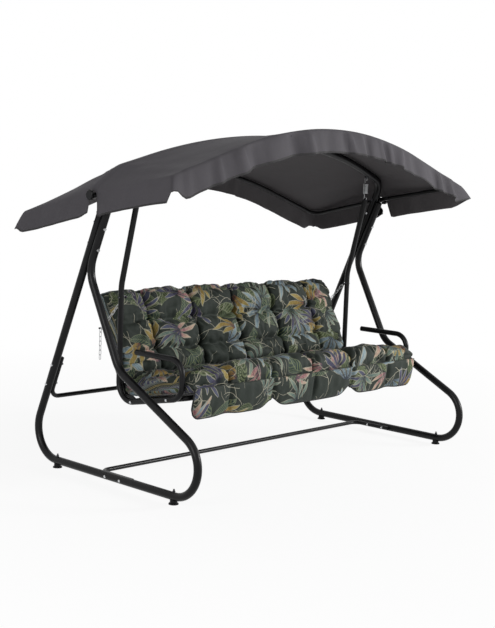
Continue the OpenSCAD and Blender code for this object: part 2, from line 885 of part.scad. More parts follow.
module seat_frame() {
    front = seat_at(seat_front_y, 0);
    rear = seat_at(seat_rear_y, 0);
    powder_coat() place()
        difference() {
            union() {
                bent_tube(
                    [rear - [seat_x - 80, 0, 0], rear - [seat_x, 0, 0], front - [seat_x, 0, 0],
                     front + [seat_x, 0, 0], rear + [seat_x, 0, 0], rear + [seat_x - 80, 0, 0]],
                    [0, 30, 40, 40, 30, 0], seat_d, arm_wall);
                straight_tube(rear - [seat_x - 81, 0, 0] - [reach + 1, 0, 0],
                    rear + [seat_x - 80 + reach, 0, 0],
                    seat_d + step, seat_d - 2 * arm_wall + step);
                mirrored_pair()
                    hinge_ear();
            }
            mirrored_pair()
                translate([-arm_x, 0, 0])
                    for (y = seat_bolt_y)
                        seat_bolt(y, true);
            hinge_hole();
        }
}

// Ear that reaches back from the seat's rear tube to the backrest's hinge.
module hinge_ear() {
    rear = seat_at(seat_rear_y, 0);
    translate([ear_x - ear_t, 0, 0])
        rotate([90, 0, 90])
            linear_extrude(ear_t)
                polygon([
                    [hinge_y + 13, hinge_z + 2], [hinge_y + 7, hinge_z + 12],
                    [hinge_y - 8, hinge_z + 11],
                    [rear[1] - 8, rear[2] + 10], [rear[1] - 8, rear[2] - 10],
                    [rear[1] + 20, rear[2] - 10], [hinge_y + 13, hinge_z - 10]]);
}

module hinge_hole() {
    rod([-arm_x, hinge_y, hinge_z], [arm_x, hinge_y, hinge_z], bolt_d - 2 + 2 * fit);
}

// Wires from low to high, with cross wires on top of them; out points away from the frame.
module wire_grid(half_w, low, high, out, rows) {
    step = 2 * half_w / (wire_count + 1);
    for (i = [1 : wire_count])
        translate([-half_w + i * step, 0, 0])
            rod(low + out * grid_up, high + out * grid_up, wire_d);
    for (k = [1 : rows]) {
        p = low + (high - low) * k / (rows + 1) + out * (grid_up + wire_d + fit);
        rod(p - [half_w - step / 2, 0, 0], p + [half_w - step / 2, 0, 0], wire_d);
    }
}

module seat_grid() {
    powder_coat() place()
        wire_grid(seat_x - 14, seat_at(seat_rear_y, 0), seat_at(seat_front_y, 0), seat_n, 4);
}

module seat_bolts() {
    zinc() place()
        mirrored_pair()
            translate([-arm_x, 0, 0])
                for (y = seat_bolt_y)
                    seat_bolt(y);
}

// Rivet of each hinge: flat head outside, domed head inside.
module hinge_bolts() {
    zinc() place()
        mirrored_pair() {
            rod([ear_x - ear_t - 4, hinge_y, hinge_z],
                [back_x + seat_d / 2 + 2, hinge_y, hinge_z], bolt_d - 2);
            rod([back_x + seat_d / 2 + 0.05, hinge_y, hinge_z],
                [back_x + seat_d / 2 + 2, hinge_y, hinge_z], head_d - 3);
            rod([ear_x - ear_t - 4, hinge_y, hinge_z],
                [ear_x - ear_t - 0.05, hinge_y, hinge_z], head_d - 3);
        }
}

// ---------- backrest ----------

back_low_s = 40;                                   // its lower cross tube
back_top = back_at(back_len, 0);

module backrest_frame() {
    powder_coat() place()
        difference() {
            union() {
                bent_tube(
                    [back_at(-11, 0) - [back_x, 0, 0], back_top - [back_x, 0, 0],
                     back_top + [back_x, 0, 0], back_at(-11, 0) + [back_x, 0, 0]],
                    [0, 62, 62, 0], seat_d, arm_wall);
                straight_tube(back_at(back_low_s, 0) - [back_x - 11.7, 0, 0],
                    back_at(back_low_s, 0) + [back_x - 11.7, 0, 0], seat_d - 5, seat_d - 8);
                mirrored_pair()
                    chain_pin();
            }
            hinge_hole();
        }
}

// Pin with a round head on the outer side of the backrest, which takes the chain.
module chain_pin() {
    at = back_at(pin_s, 0);
    rod(at + [back_x + seat_d / 2 - 2.5, 0, 0], at + [chain_x + link_w + 1, 0, 0], pin_d);
    rod(at + [chain_x + link_w - 1, 0, 0], at + [chain_x + link_w + 1, 0, 0], pin_d + 4);
}

module backrest_grid() {
    powder_coat() place()
        wire_grid(back_x - 14, back_at(back_low_s, 0), back_at(back_len, 0), back_front, 4);
}

// ---------- chains ----------

link_w = link_l / 2;
link_pitch = link_l - 2 * link_wire - 0.6;
chain_x = arm_x - arm_d / 2 - link_w / 2 - 2;
chain_top = [chain_x, chain_bolt_y, chain_bolt_z];
chain_links = 11;                                  // odd, so that both end links stand on their pins
tail_links = 7;
pin_d = 5;
bolt_seat = link_l / 2 - link_wire - (bolt_d - 2) / 2 - 0.3;
pin_seat = link_l / 2 - link_wire - pin_d / 2 - 0.3;
chain_span = bolt_seat + (chain_links - 1) * link_pitch + pin_seat;

// The pin sits on the backrest where the taut chain reaches it.
from_bolt = back_at(0, 0) - [0, chain_bolt_y, chain_bolt_z];
pin_s = -(from_bolt * back_dir)
    - sqrt(max(1, pow(from_bolt * back_dir, 2) - from_bolt * from_bolt + chain_span * chain_span));
chain_foot = back_at(pin_s, 0) + [chain_x, 0, 0];

// One link: two half rings and two straight wires, its long axis along Z.
module chain_link() {
    r = (link_w - link_wire) / 2;
    straight = link_l - link_w;
    for (k = [-1, 1]) {
        translate([0, 0, k * straight / 2])
            rotate([90, 0, 0])
                rotate_extrude(angle = k * 180, $fn = 32)
                    translate([r, 0])
                        circle(d = link_wire, $fn = 24);
        translate([k * r, 0, -straight / 2])
            cylinder(h = straight, d = link_wire, $fn = 24);
    }
}

// Row of links from a towards b, every second one turned a quarter about the row.
module chain_row(a, b, count, start) {
    dir = unit(b - a);
    x = side_of(dir);
    multmatrix(basis(x, cross(dir, x), dir, a))
        for (i = [0 : count - 1])
            translate([0, 0, start + i * link_pitch])
                rotate([0, 0, 90 * (i % 2)])
                    chain_link();
}

module side_chain() {
    chain_row(chain_top, chain_foot, chain_links, bolt_seat);
}

module tail_chain() {
    top = chain_foot + [link_wire * 2, 0, 0];
    chain_row(top, top - [0, 0, 100], tail_links, pin_seat);
}

module left_chain() {
    zinc() place() mirror([1, 0, 0]) side_chain();
}

module right_chain() {
    zinc() place() side_chain();
}

module left_chain_tail() {
    zinc() place() mirror([1, 0, 0]) tail_chain();
}

module right_chain_tail() {
    zinc() place() tail_chain();
}

module chain_bolts() {
    dark_zinc() place()
        mirrored_pair()
            translate([arm_x, chain_bolt_y, chain_bolt_z]) {
                rotate([0, -90, 0]) {
                    translate([0, 0, -arm_d / 2 - 3])
                        cylinder(h = arm_d + 3 + link_w, d = bolt_d - 2);
                    translate([0, 0, arm_d / 2])
                        cylinder(h = 1.6, d = head_d - 3);
                    translate([0, 0, arm_d / 2 + link_w - 3])
                        cylinder(h = 6, d = head_d);
                    translate([0, 0, -arm_d / 2 - 4])
                        cylinder(h = 4, d = head_d - 3);
                }
            }
}

// ---------- cushions ----------

tuft_row = tuft_x / 2;
tuft_h = 32;                                       // how far the crowns rise above the tufts
seat_pad_x = arm_x - arm_d / 2 - 5;
back_pad_x = chain_x - link_w / 2 - 4;

// Swell of the cover between the tufts: 0 at a tuft, 1 in the middle of a field.
function swell(x, t) =
    (pow(abs(sin(180 * x / tuft_x)), 0.7) + pow(abs(sin(180 * t / tuft_row)), 0.7)) / 2;

function dark_green() = [0.19, 0.22, 0.19];

// Closed cushion: loops[i] is the section at stations[i], all with the same count of points.
module cushion_body(loops) {
    n = len(loops[0]);
    m = len(loops);
    pts = [for (row = loops) for (q = row) q];
    faces = concat(
        [for (i = [0 : m - 2]) for (k = [0 : n - 1])
            let (e = (k + 1) % n)
                each [[i * n + k, (i + 1) * n + e, i * n + e],
                    [i * n + k, (i + 1) * n + k, (i + 1) * n + e]]],
        [[for (k = [0 : n - 1]) k]],
        [[for (k = [n - 1 : -1 : 0]) (m - 1) * n + k]]
    );
    polyhedron(points = pts, faces = faces, convexity = 8);
}

// Stations across a cushion, denser at its drawn-in ends, and how full the section is there.
function stations(half) = concat(
    [-half, -half + 10, -half + 34],
    [for (x = [-2.5 * tuft_x : tuft_x / 4 : 2.5 * tuft_x]) x],
    [half - 34, half - 10, half]);
function fullness(x, half) =
    abs(x) > half - 5 ? 0.62 : abs(x) > half - 20 ? 0.84 : abs(x) > half - 40 ? 0.96 : 1;
function drawn_in(p, c, f) = [p[0], c[1] + (p[1] - c[1]) * (0.5 + 0.5 * f), c[2] + (p[2] - c[2]) * f];

// Seat section in Y and height above the rail line. The third value is 1 where the cover swells.
crown_up = pad_up + seat_pad_t;
tuft_up = crown_up - tuft_h;
flat_y0 = seat_rear_y + 10;
tuft_y0 = hinge_y - 72;                            // the first seat row starts at the junction
nose_y = front_post_y - 55;

function seat_loop_at(x) = [
    [flat_y0 - 4, pad_up + 6, 0], [flat_y0 - 60, pad_up, 0], [flat_y0 - 170, pad_up, 0],
    [flat_y0 - 280, pad_up, 0], [nose_y + 50, pad_up, 0], [nose_y + 14, pad_up + 4, 0],
    [nose_y - 4, pad_up + 20, 0], [nose_y - 10, pad_up + 44, 0.4], [nose_y - 4, pad_up + 68, 0.4],
    [nose_y + 16, tuft_up - 8, 0.6], [nose_y + 44, tuft_up, 0.8],
    [tuft_y0 - tuft_row * 2 - 37, tuft_up, 1], [tuft_y0 - tuft_row * 2, tuft_up, 1],
    [tuft_y0 - tuft_row * 2 + 37, tuft_up, 1], [tuft_y0 - tuft_row * 1.5, tuft_up, 1],
    [tuft_y0 - tuft_row - 37, tuft_up, 1], [tuft_y0 - tuft_row, tuft_up, 1],
    [tuft_y0 - tuft_row + 37, tuft_up, 1], [tuft_y0 - tuft_row * 0.5, tuft_up + 3, 1],
    [tuft_y0 - 37, tuft_up + 8, 1], [tuft_y0, tuft_up + 14, 0.8], [tuft_y0 + 18, tuft_up + 16, 0],
    [flat_y0 + 14, tuft_up - 4, 0], [flat_y0 + 26, pad_up + 46, 0], [flat_y0 + 22, pad_up + 26, 0]
];

module seat_cushion() {
    centre = [0, (flat_y0 + nose_y) / 2, rail_at((flat_y0 + nose_y) / 2) + pad_up + 42];
    color(dark_green()) place()
        cushion_body([for (x = stations(seat_pad_x))
            [for (q = seat_loop_at(x))
                drawn_in([x, q[0], rail_at(q[0]) + q[1] + q[2] * tuft_h * swell(x, tuft_y0 - q[0])],
                    [0, centre[1], rail_at(q[0]) + pad_up + 42], fullness(x, seat_pad_x))]]);
}

// Front flap: a padded hem that hangs from the seat's nose in three lobes.
module cushion_flap() {
    xs = [for (x = [-seat_pad_x : seat_pad_x / 24 : seat_pad_x]) x];
    top_z = rail_at(nose_y - 10) + pad_up + 44;
    low_z = rail_z - 4;
    function lobe(x) = abs(sin(180 * (x + tuft_x) / (2 * tuft_x)));
    function low_at(x) = low_z + 40 * pow(1 - min(1, lobe(x)), 2) + (abs(x) > seat_pad_x - 30 ? 16 : 0);
    function front_at(x, v) = nose_y - 10.35 + 24 * v - 10 * sin(180 * v) * swell(x, 0);
    rows = [0, 0.25, 0.5, 0.75, 1];
    color(dark_green()) place()
        grid_solid(
            [for (x = xs) [for (v = rows)
                [x, front_at(x, v) - (v == 1 ? 4 : 11), top_z + (low_at(x) - top_z) * v]]],
            [for (x = xs) [for (v = rows)
                [x, front_at(x, v), top_z + (low_at(x) - top_z) * v]]]);
}

// Backrest section in distance along the back and height in front of its frame.
back_row0 = 184;
function back_tuft(s) = pad_up + back_pad_t - 14 + 12 * (s - back_row0) / tuft_row;
function back_loop_at(x) = [
    [22, pad_up + 1, 0], [60, pad_up, 0], [180, pad_up, 0], [300, pad_up, 0], [420, pad_up, 0],
    [back_len - 24, pad_up + 2, 0], [back_len - 6, pad_up + 20, 0], [back_len - 2, pad_up + 46, 0],
    [back_len - 8, pad_up + 70, 0.3], [back_len - 26, back_tuft(400) - 6, 0.7],
    [back_row0 + tuft_row * 1.75, back_tuft(420), 0.9], [back_row0 + tuft_row * 1.5, back_tuft(409), 1],
    [back_row0 + tuft_row + 37, back_tuft(371), 1], [back_row0 + tuft_row, back_tuft(334), 1],
    [back_row0 + tuft_row - 37, back_tuft(297), 1], [back_row0 + tuft_row / 2, back_tuft(259), 1],
    [back_row0 + 37, back_tuft(221), 1], [back_row0, back_tuft(184), 1],
    [back_row0 - 37, back_tuft(147), 1], [back_row0 - tuft_row / 2, back_tuft(109), 1],
    [84, pad_up + 68, 0.5], [68, pad_up + 52, 0], [44, pad_up + 30, 0], [26, pad_up + 12, 0]
];

module backrest_cushion() {
    color(dark_green()) place()
        cushion_body([for (x = [for (v = stations(back_pad_x)) -v])
            [for (q = back_loop_at(x))
                let (f = fullness(x, back_pad_x),
                     up = pad_up + 40 + (q[1] + q[2] * tuft_h * swell(x, q[0] - back_row0) - pad_up - 40) * f,
                     s = 260 + (q[0] - 260) * (0.6 + 0.4 * f))
                    [x, back_at(s, up)[1], back_at(s, up)[2]]]]);
}

// ---------- canopy ----------

roof_tangent_x = roof_r * sin(roof_slope);
function roof_drop(x) = abs(x) < roof_tangent_x
    ? roof_r - sqrt(roof_r * roof_r - x * x)
    : roof_r * (1 - cos(roof_slope)) + (abs(x) - roof_tangent_x) * tan(roof_slope);

bow_drop = bow_d / 2 + cover_t + 3;                // from the roof's fold to a bow's centre line
bow_x = canopy_x - cover_t - bow_d / 2 - 3;
hub_arm_x = hub_x + hub_t + plate_t * 2 + 4;       // centre line of the arms beside the hub

// A bow: arch over the bench, corners, and arms back to the hubs.
module bow(y, top, plate_x) {
    tip_z = top + roof_r * (1 / cos(roof_slope) - 1) - bow_drop / cos(roof_slope);
    corner_z = tip_z - bow_x * tan(roof_slope);
    arm = unit([0, y - pivot_y, corner_z - pivot_z]);
    start = [hub_arm_x, pivot_y, pivot_z] + arm * 46;
    difference() {
        union() {
            bent_tube(
                [[-start[0], start[1], start[2]], [-bow_x, y, corner_z], [0, y, tip_z],
                 [bow_x, y, corner_z], start],
                [0, 58, roof_r - bow_drop, 58, 0], bow_d, tube_wall);
            mirrored_pair() {
                translate([plate_x, pivot_y, pivot_z])
                    rotate([0, 90, 0])
                        cylinder(h = plate_t, d = 38);
                multmatrix(basis([1, 0, 0], cross(arm, [1, 0, 0]), arm, [plate_x, pivot_y, pivot_z]))
                    translate([0, -9, 0])
                        cube([plate_t, 18, 72]);
            }
        }
        rod([-canopy_x, pivot_y, pivot_z], [canopy_x, pivot_y, pivot_z], bolt_d + 2 * fit);
    }
}

front_bow_y = -bow_front_y + cover_t + bow_d / 2 + 1;
rear_bow_y = bow_rear_y - cover_t - bow_d / 2 - 1;

module front_bow() {
    powder_coat() place() bow(front_bow_y, crown_z, hub_x + hub_t + gap);
}

module rear_bow() {
    powder_coat() place() bow(rear_bow_y, crown_z - roof_fall, hub_x + hub_t + gap * 2 + plate_t);
}

// Spacer disc between each leg and the bows' end plates.
module hub_discs() {
    black_plastic() place()
        mirrored_pair()
            translate([hub_x, pivot_y, pivot_z])
                rotate([0, 90, 0])
                    difference() {
                        cylinder(h = hub_t, d = 40);
                        translate([0, 0, -1])
                            cylinder(h = hub_t + 2, d = bolt_d + 2 * fit);
                    }
}

// Bolt of each canopy hub: head inside the leg's top, thread out to the knob.
module canopy_bolts() {
    dark_zinc() place()
        mirrored_pair() {
            rod([frame_x - tube_d / 2 - 5, pivot_y, pivot_z],
                [frame_x - tube_d / 2, pivot_y, pivot_z], head_d);
            rod([frame_x - tube_d / 2 - 1, pivot_y, pivot_z], [canopy_x + 8, pivot_y, pivot_z], bolt_d);
        }
}

// Hand knob: collar against the plates, then a grooved disc with a threaded hole.
knob_at = hub_x + hub_t + gap * 3 + plate_t * 2;
knob_t = canopy_x + 24 - knob_at;

module hand_knob() {
    translate([knob_at, pivot_y, pivot_z])
        rotate([0, 90, 0])
            difference() {
                union() {
                    cylinder(h = knob_t - 13, d = 26);
                    translate([0, 0, knob_t - 14])
                        cylinder(h = 11, d = knob_d);
                    translate([0, 0, knob_t - 3])
                        cylinder(h = 3, d1 = knob_d, d2 = knob_d - 8);
                }
                for (a = [0 : 45 : 315])
                    rotate([0, 0, a])
                        translate([knob_d / 2 + 2, 0, knob_t - 20])
                            cylinder(h = 30, d = 10);
                translate([0, 0, -1])
                    cylinder(h = knob_t - 8, d = bolt_d + 2 * fit);
            }
}

module left_knob() {
    black_plastic() place() mirror([1, 0, 0]) hand_knob();
}

module right_knob() {
    black_plastic() place() hand_knob();
}

// Ridge of the cover where it lies over the beam: its place and height at distance x.
shoulder_x = frame_x - shoulder_r;
shoulder_low = shoulder_s - shoulder_r * tan((90 - arch_slope) / 2);
function beam_top_s(x) = abs(x) < shoulder_x + 40
    ? beam_s(x) + tube_d / 2 / cos(arch_slope)
    : shoulder_low + sqrt(max(0, pow(shoulder_r + tube_d / 2, 2) - pow(abs(x) - shoulder_x, 2)));
edge_ridge_z = pivot_z + 18;
ridge_clear = 8;
function ridge_s(x) = beam_top_s(min(abs(x), frame_x));
beam_end_y = leg_at(ridge_s(frame_x) - tube_d / 2)[1];
function ridge_y(x) = leg_at(ridge_s(x) - tube_d / 2)[1]
    + max(0, abs(x) - frame_x) / (canopy_x - frame_x) * (pivot_y - beam_end_y);
function ridge_z(x) = abs(x) < frame_x + 1
    ? leg_at(ridge_s(x))[2] + ridge_clear + cover_t
    : edge_ridge_z + (leg_at(ridge_s(frame_x))[2] + ridge_clear + cover_t - edge_ridge_z)
        * pow((canopy_x - abs(x)) / (canopy_x - frame_x), 0.8);

// Columns of the cover: three rows of the left valance, the roof, three rows of the right one.
roof_xs = [-1078, -1046, -1012, -984, -956, -915, -850, -730, -610, -490, -370, -250, -125, 0,
    125, 250, 370, 490, 610, 730, 850, 915, 956, 984, 1012, 1046, 1078];
side_vs = [1, 0.5];
cols = concat([for (v = side_vs) [-1, v]], [for (x = roof_xs) [0, x * canopy_x / 1078]],
    [for (k = [1 : -1 : 0]) [1, side_vs[k]]]);

// Rows: front valance, front half, ridge, rear half, rear valance.
rows = concat([[-1, 1], [-1, 0.5]],
    [for (t = [0, 0.2, 0.4, 0.6, 0.8]) [0, t]], [[1, -1], [1, 0], [1, 1]],
    [for (t = [0.15, 0.35, 0.55, 0.75, 1]) [2, t]], [[3, 0.5], [3, 1]]);
first_roof_row = 2;
last_roof_row = len(rows) - 3;
first_roof_col = 2;
last_roof_col = len(cols) - 3;
slit_half = 24;                                     // half width of the slit in each side valance

function roof_point(x, r) =
    let (zf = crown_z - roof_drop(x), zr = zf - roof_fall, ry = ridge_y(x), rz = ridge_z(x),
         sag = 1 - pow(x / canopy_x, 4))
        r[0] == 0 ? [x, -bow_front_y + (ry - slit_half + bow_front_y) * r[1],
            zf + (rz - zf) * r[1] - 7 * sag * sin(180 * r[1])]
        : r[0] == 1 ? [x, ry + slit_half * r[1], rz - (r[1] < 0 ? 3 : 1) * abs(r[1])]
        : [x, ry + slit_half + (bow_rear_y - ry - slit_half) * r[1],
            rz - 1 + (zr - rz + 1) * r[1] - 9 * sag * sin(180 * r[1])];

// Hem of the front and rear valances: deeper towards the corners, rounded at the very ends.
function end_drop(x) = valance_drop + 14 * exp(-pow((abs(x) - canopy_x + 82) / 60, 2))
    - 50 * pow(max(0, (abs(x) - canopy_x + 62) / 62), 2);
function end_wave(x, v) = v * 5 * sin(x * 1.9) * sin(x * 0.43 + 40);
function side_drop(r, y) = valance_drop + 8 * sin(180 * min(1, abs(y - pivot_y) / 480))
    - 26 * exp(-pow((abs(y - pivot_y) - slit_half) / 40, 2));

function cover_point(i, j) =
    let (c = cols[i], r = rows[j])
        c[0] == 0 && (r[0] >= 0 && r[0] < 3) ? roof_point(c[1], r)
        : c[0] == 0 && r[0] == -1
            ? roof_point(c[1], [0, 0]) + [c[1] * 0.026 * r[1],
                -valance_flare * r[1] - end_wave(c[1], r[1]), -end_drop(c[1]) * r[1]]
        : c[0] == 0
            ? roof_point(c[1], [2, 1]) + [c[1] * 0.026 * r[1],
                valance_flare * r[1] + end_wave(c[1] + 60, r[1]), -end_drop(c[1]) * r[1]]
        : let (e = roof_point(c[0] * canopy_x, r))
            e + [c[0] * valance_flare * c[1],
                (e[1] < -bow_front_y + 1 ? -20 : e[1] > bow_rear_y - 1 ? 20
                    : r[0] == 1 ? 10 * r[1] : 0) * c[1],
                -side_drop(r, e[1]) * c[1]];

function in_cover(i, j) =
    i >= 0 && j >= 0 && i < len(cols) - 1 && j < len(rows) - 1
    && ((i >= first_roof_col && i < last_roof_col) || (j >= first_roof_row && j < last_roof_row))
    && !((i < first_roof_col || i >= last_roof_col) && (j == 7 || j == 8));

function inward(i, j) =
    let (dx = i <= first_roof_col ? 1 : i >= last_roof_col ? -1 : 0,
         dy = j <= first_roof_row ? 1 : j >= last_roof_row ? -1 : 0,
         roof_col = i >= first_roof_col && i <= last_roof_col,
         roof_row = j >= first_roof_row && j <= last_roof_row,
         part = roof_col && roof_row ? 0.8 : 1)
        [roof_row ? dx * part : 0, roof_col ? dy * part : 0, roof_col && roof_row ? -1 : 0];

module canopy_cover() {
    nj = len(rows);
    n = len(cols) * nj;
    ij = [for (i = [0 : len(cols) - 1]) for (j = [0 : nj - 1]) [i, j]];
    // Only points of the cover itself are kept; the others would be loose.
    kept = [for (q = ij) in_cover(q[0], q[1]) || in_cover(q[0] - 1, q[1])
        || in_cover(q[0], q[1] - 1) || in_cover(q[0] - 1, q[1] - 1)];
    order = [for (k = 0, c = 0; k < n; c = c + (kept[k] ? 1 : 0), k = k + 1) c];
    total = order[n - 1] + (kept[n - 1] ? 1 : 0);
    outer = [for (k = [0 : n - 1]) if (kept[k]) cover_point(ij[k][0], ij[k][1])];
    inner = [for (k = [0 : n - 1]) if (kept[k])
        cover_point(ij[k][0], ij[k][1]) + cover_t * inward(ij[k][0], ij[k][1])];
    function o(i, j) = order[i * nj + j];
    function p(i, j) = total + order[i * nj + j];
    faces = [for (i = [0 : len(cols) - 2]) for (j = [0 : nj - 2]) if (in_cover(i, j)) each concat(
        [[o(i, j), o(i + 1, j + 1), o(i + 1, j)], [o(i, j), o(i, j + 1), o(i + 1, j + 1)]],
        [[p(i, j), p(i + 1, j), p(i + 1, j + 1)], [p(i, j), p(i + 1, j + 1), p(i, j + 1)]],
        in_cover(i - 1, j) ? [] : [[o(i, j), p(i, j), p(i, j + 1)],
            [o(i, j), p(i, j + 1), o(i, j + 1)]],
        in_cover(i + 1, j) ? [] : [[o(i + 1, j), p(i + 1, j + 1), p(i + 1, j)],
            [o(i + 1, j), o(i + 1, j + 1), p(i + 1, j + 1)]],
        in_cover(i, j - 1) ? [] : [[o(i, j), p(i + 1, j), p(i, j)],
            [o(i, j), o(i + 1, j), p(i + 1, j)]],
        in_cover(i, j + 1) ? [] : [[o(i, j + 1), p(i, j + 1), p(i + 1, j + 1)],
            [o(i, j + 1), p(i + 1, j + 1), o(i + 1, j + 1)]]
    )];
    color([0.31, 0.30, 0.31]) place()
        polyhedron(points = concat(outer, inner), faces = faces, convexity = 10);
}

// ---------- assembly ----------

left_front_leg();
right_front_leg();
left_rear_leg();
right_rear_leg();
crossbeam();
rear_crossbar();
floor_stretcher();
left_front_foot();
right_front_foot();
left_rear_foot();
right_rear_foot();
foot_bolts();
leg_bolts();
runner_bolts();
crossbar_bolts();
beam_bolts();
leg_plugs();
brace_plugs();
leg_caps();
left_spring_bracket();
right_spring_bracket();
canopy_bolts();
left_spring();
right_spring();
left_side_arm();
right_side_arm();
arm_plugs();
hanger_eyes();
seat_frame();
seat_grid();
seat_bolts();
chain_bolts();
left_chain();
right_chain();
hinge_bolts();
seat_cushion();
cushion_flap();
backrest_frame();
backrest_grid();
left_chain_tail();
right_chain_tail();
backrest_cushion();
front_bow();
rear_bow();
hub_discs();
canopy_cover();
left_knob();
right_knob();

echo(origin_y = origin_y, pivot = pivot - [0, origin_y, 0], axis = [axis_y - origin_y, axis_z]);
echo(hinge = [hinge_y - origin_y, hinge_z], pin = [pin_s, chain_foot[1] - origin_y, chain_foot[2]]);
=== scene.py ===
import json
import math
from functools import partialmethod

import bmesh
import bpy
from mathutils import Matrix, Vector, noise


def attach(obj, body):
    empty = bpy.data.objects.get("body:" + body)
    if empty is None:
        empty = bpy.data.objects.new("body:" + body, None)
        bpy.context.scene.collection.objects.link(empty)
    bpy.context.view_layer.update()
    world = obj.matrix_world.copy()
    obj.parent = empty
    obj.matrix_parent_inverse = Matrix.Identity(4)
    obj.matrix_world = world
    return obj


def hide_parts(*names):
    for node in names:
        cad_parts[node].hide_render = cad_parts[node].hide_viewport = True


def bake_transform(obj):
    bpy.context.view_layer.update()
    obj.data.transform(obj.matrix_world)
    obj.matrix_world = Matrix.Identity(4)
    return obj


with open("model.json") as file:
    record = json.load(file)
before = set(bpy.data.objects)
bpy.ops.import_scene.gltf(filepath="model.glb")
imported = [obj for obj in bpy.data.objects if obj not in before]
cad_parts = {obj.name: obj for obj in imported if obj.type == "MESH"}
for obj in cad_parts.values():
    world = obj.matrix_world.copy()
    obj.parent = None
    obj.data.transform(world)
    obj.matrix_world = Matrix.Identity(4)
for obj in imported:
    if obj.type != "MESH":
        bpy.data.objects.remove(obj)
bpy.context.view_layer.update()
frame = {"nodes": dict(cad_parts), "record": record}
MM = 0.001
Y0 = 32.0722            # Y of the frame's origin, in mm from the middle between the feet


def feed(tree, socket, value):
    """Links another node's output to a socket, or sets the socket to a plain value."""
    if isinstance(value, bpy.types.NodeSocket):
        tree.links.new(value, socket)
    else:
        socket.default_value = value


def node(tree, kind, values=(), **settings):
    """Adds a node, fills its inputs by place or by name, and returns its outputs."""
    n = tree.nodes.new(kind)
    for key, value in settings.items():
        setattr(n, key, value)
    for key, value in values.items() if isinstance(values, dict) else enumerate(values):
        feed(tree, n.inputs[key], value)
    return n.outputs


# ---------------------------------------------------------------- materials

class Graph:
    """Builds a material's shader nodes from expressions."""

    def __init__(self, name):
        self.mat = bpy.data.materials.new(name)
        self.mat.use_nodes = True
        self.tree = self.mat.node_tree
        self.tree.nodes.clear()
        self.out = self.tree.nodes.new("ShaderNodeOutputMaterial")
        self.bsdf = self.tree.nodes.new("ShaderNodeBsdfPrincipled")
        feed(self.tree, self.out.inputs[0], self.bsdf.outputs[0])

    def set(self, **values):
        for key, value in values.items():
            feed(self.tree, self.bsdf.inputs[key.replace("_", " ")], value)

    def node(self, kind, values=(), **settings):
        return node(self.tree, kind, values, **settings)

    def math(self, op, *values):
        return self.node("ShaderNodeMath", values, operation=op)[0]

    add, sub = partialmethod(math, "ADD"), partialmethod(math, "SUBTRACT")
    mul, div = partialmethod(math, "MULTIPLY"), partialmethod(math, "DIVIDE")
    sine, cosine = partialmethod(math, "SINE"), partialmethod(math, "COSINE")
    above, below = partialmethod(math, "GREATER_THAN"), partialmethod(math, "LESS_THAN")
    max, abs = partialmethod(math, "MAXIMUM"), partialmethod(math, "ABSOLUTE")
    root, angle = partialmethod(math, "SQRT"), partialmethod(math, "ARCTAN2")
    floor = partialmethod(math, "FLOOR")

    def vec(self, op, values):
        return self.node("ShaderNodeVectorMath", values, operation=op)[0]

    def split(self, v):
        return self.node("ShaderNodeSeparateXYZ", [v])

    def join(self, *values):
        return self.node("ShaderNodeCombineXYZ", values)[0]

    def coords(self):
        return self.node("ShaderNodeTexCoord")["Object"]

    def noise(self, v, scale, detail=2.0, rough=0.5, kind="Fac"):
        values = {"Vector": v, "Scale": scale, "Detail": detail, "Roughness": rough}
        return self.node("ShaderNodeTexNoise", values)[kind]

    def range(self, v, a, b, c=0.0, d=1.0, smooth=False):
        kind = "SMOOTHSTEP" if smooth else "LINEAR"
        return self.node("ShaderNodeMapRange", (v, a, b, c, d), interpolation_type=kind)[0]

    def mix(self, fac, a, b):
        a, b = ((*v, 1.0) if isinstance(v, tuple) and len(v) == 3 else v for v in (a, b))
        return self.node("ShaderNodeMix", {0: fac, 6: a, 7: b}, data_type="RGBA")[2]

    def ramp(self, v, stops):
        n = self.tree.nodes.new("ShaderNodeValToRGB")
        feed(self.tree, n.inputs[0], v)
        n.color_ramp.interpolation = "CONSTANT"
        els = n.color_ramp.elements
        while len(els) < len(stops):
            els.new(0.5)
        for e, (p, c) in zip(els, stops):
            e.position = p
            e.color = (*c, 1.0)
        return n.outputs[0]

    def bump(self, height, strength, distance, normal=None):
        values = {"Strength": strength, "Distance": distance, "Height": height}
        if normal is not None:
            values["Normal"] = normal
        return self.node("ShaderNodeBump", values)[0]


def coated_metal(name, color, rough, grain):
    """Powder-coated steel: fine orange peel, slightly uneven gloss and a little dust in patches."""
    g = Graph(name)
    p = g.coords()
    peel = g.noise(p, 900, 2)
    cloud = g.noise(p, 9, 3)
    dusty = tuple(c * 1.35 + 0.002 for c in color)
    g.set(Base_Color=g.mix(g.range(cloud, 0.35, 0.7), color, dusty),
          Roughness=g.range(cloud, 0.3, 0.7, rough - 0.05, rough + 0.06),
          Normal=g.bump(peel, grain, 0.0003),
          Specular_IOR_Level=0.16, Coat_Weight=0.03, Coat_Roughness=0.2)
    return g.mat


def moulded(name, color, rough):
    """Moulded plastic with a fine grain."""
    g = Graph(name)
    p = g.coords()
    g.set(Base_Color=g.mix(g.noise(p, 14, 2), color, tuple(c * 1.4 for c in color)),
          Roughness=g.range(g.noise(p, 40, 3), 0.3, 0.7, rough - 0.06, rough + 0.08),
          Normal=g.bump(g.noise(p, 1400, 1), 0.25, 0.0002), Specular_IOR_Level=0.15)
    return g.mat


def plated(name, color, rough):
    """Zinc-plated steel with a cloudy gloss."""
    g = Graph(name)
    p = g.coords()
    cloud = g.noise(p, 120, 3)
    g.set(Base_Color=g.mix(cloud, color, tuple(c * 0.7 for c in color)),
          Roughness=g.range(cloud, 0.3, 0.7, rough - 0.08, rough + 0.1),
          Metallic=1.0,
          Normal=g.bump(g.noise(p, 700, 2), 0.2, 0.0002))
    return g.mat


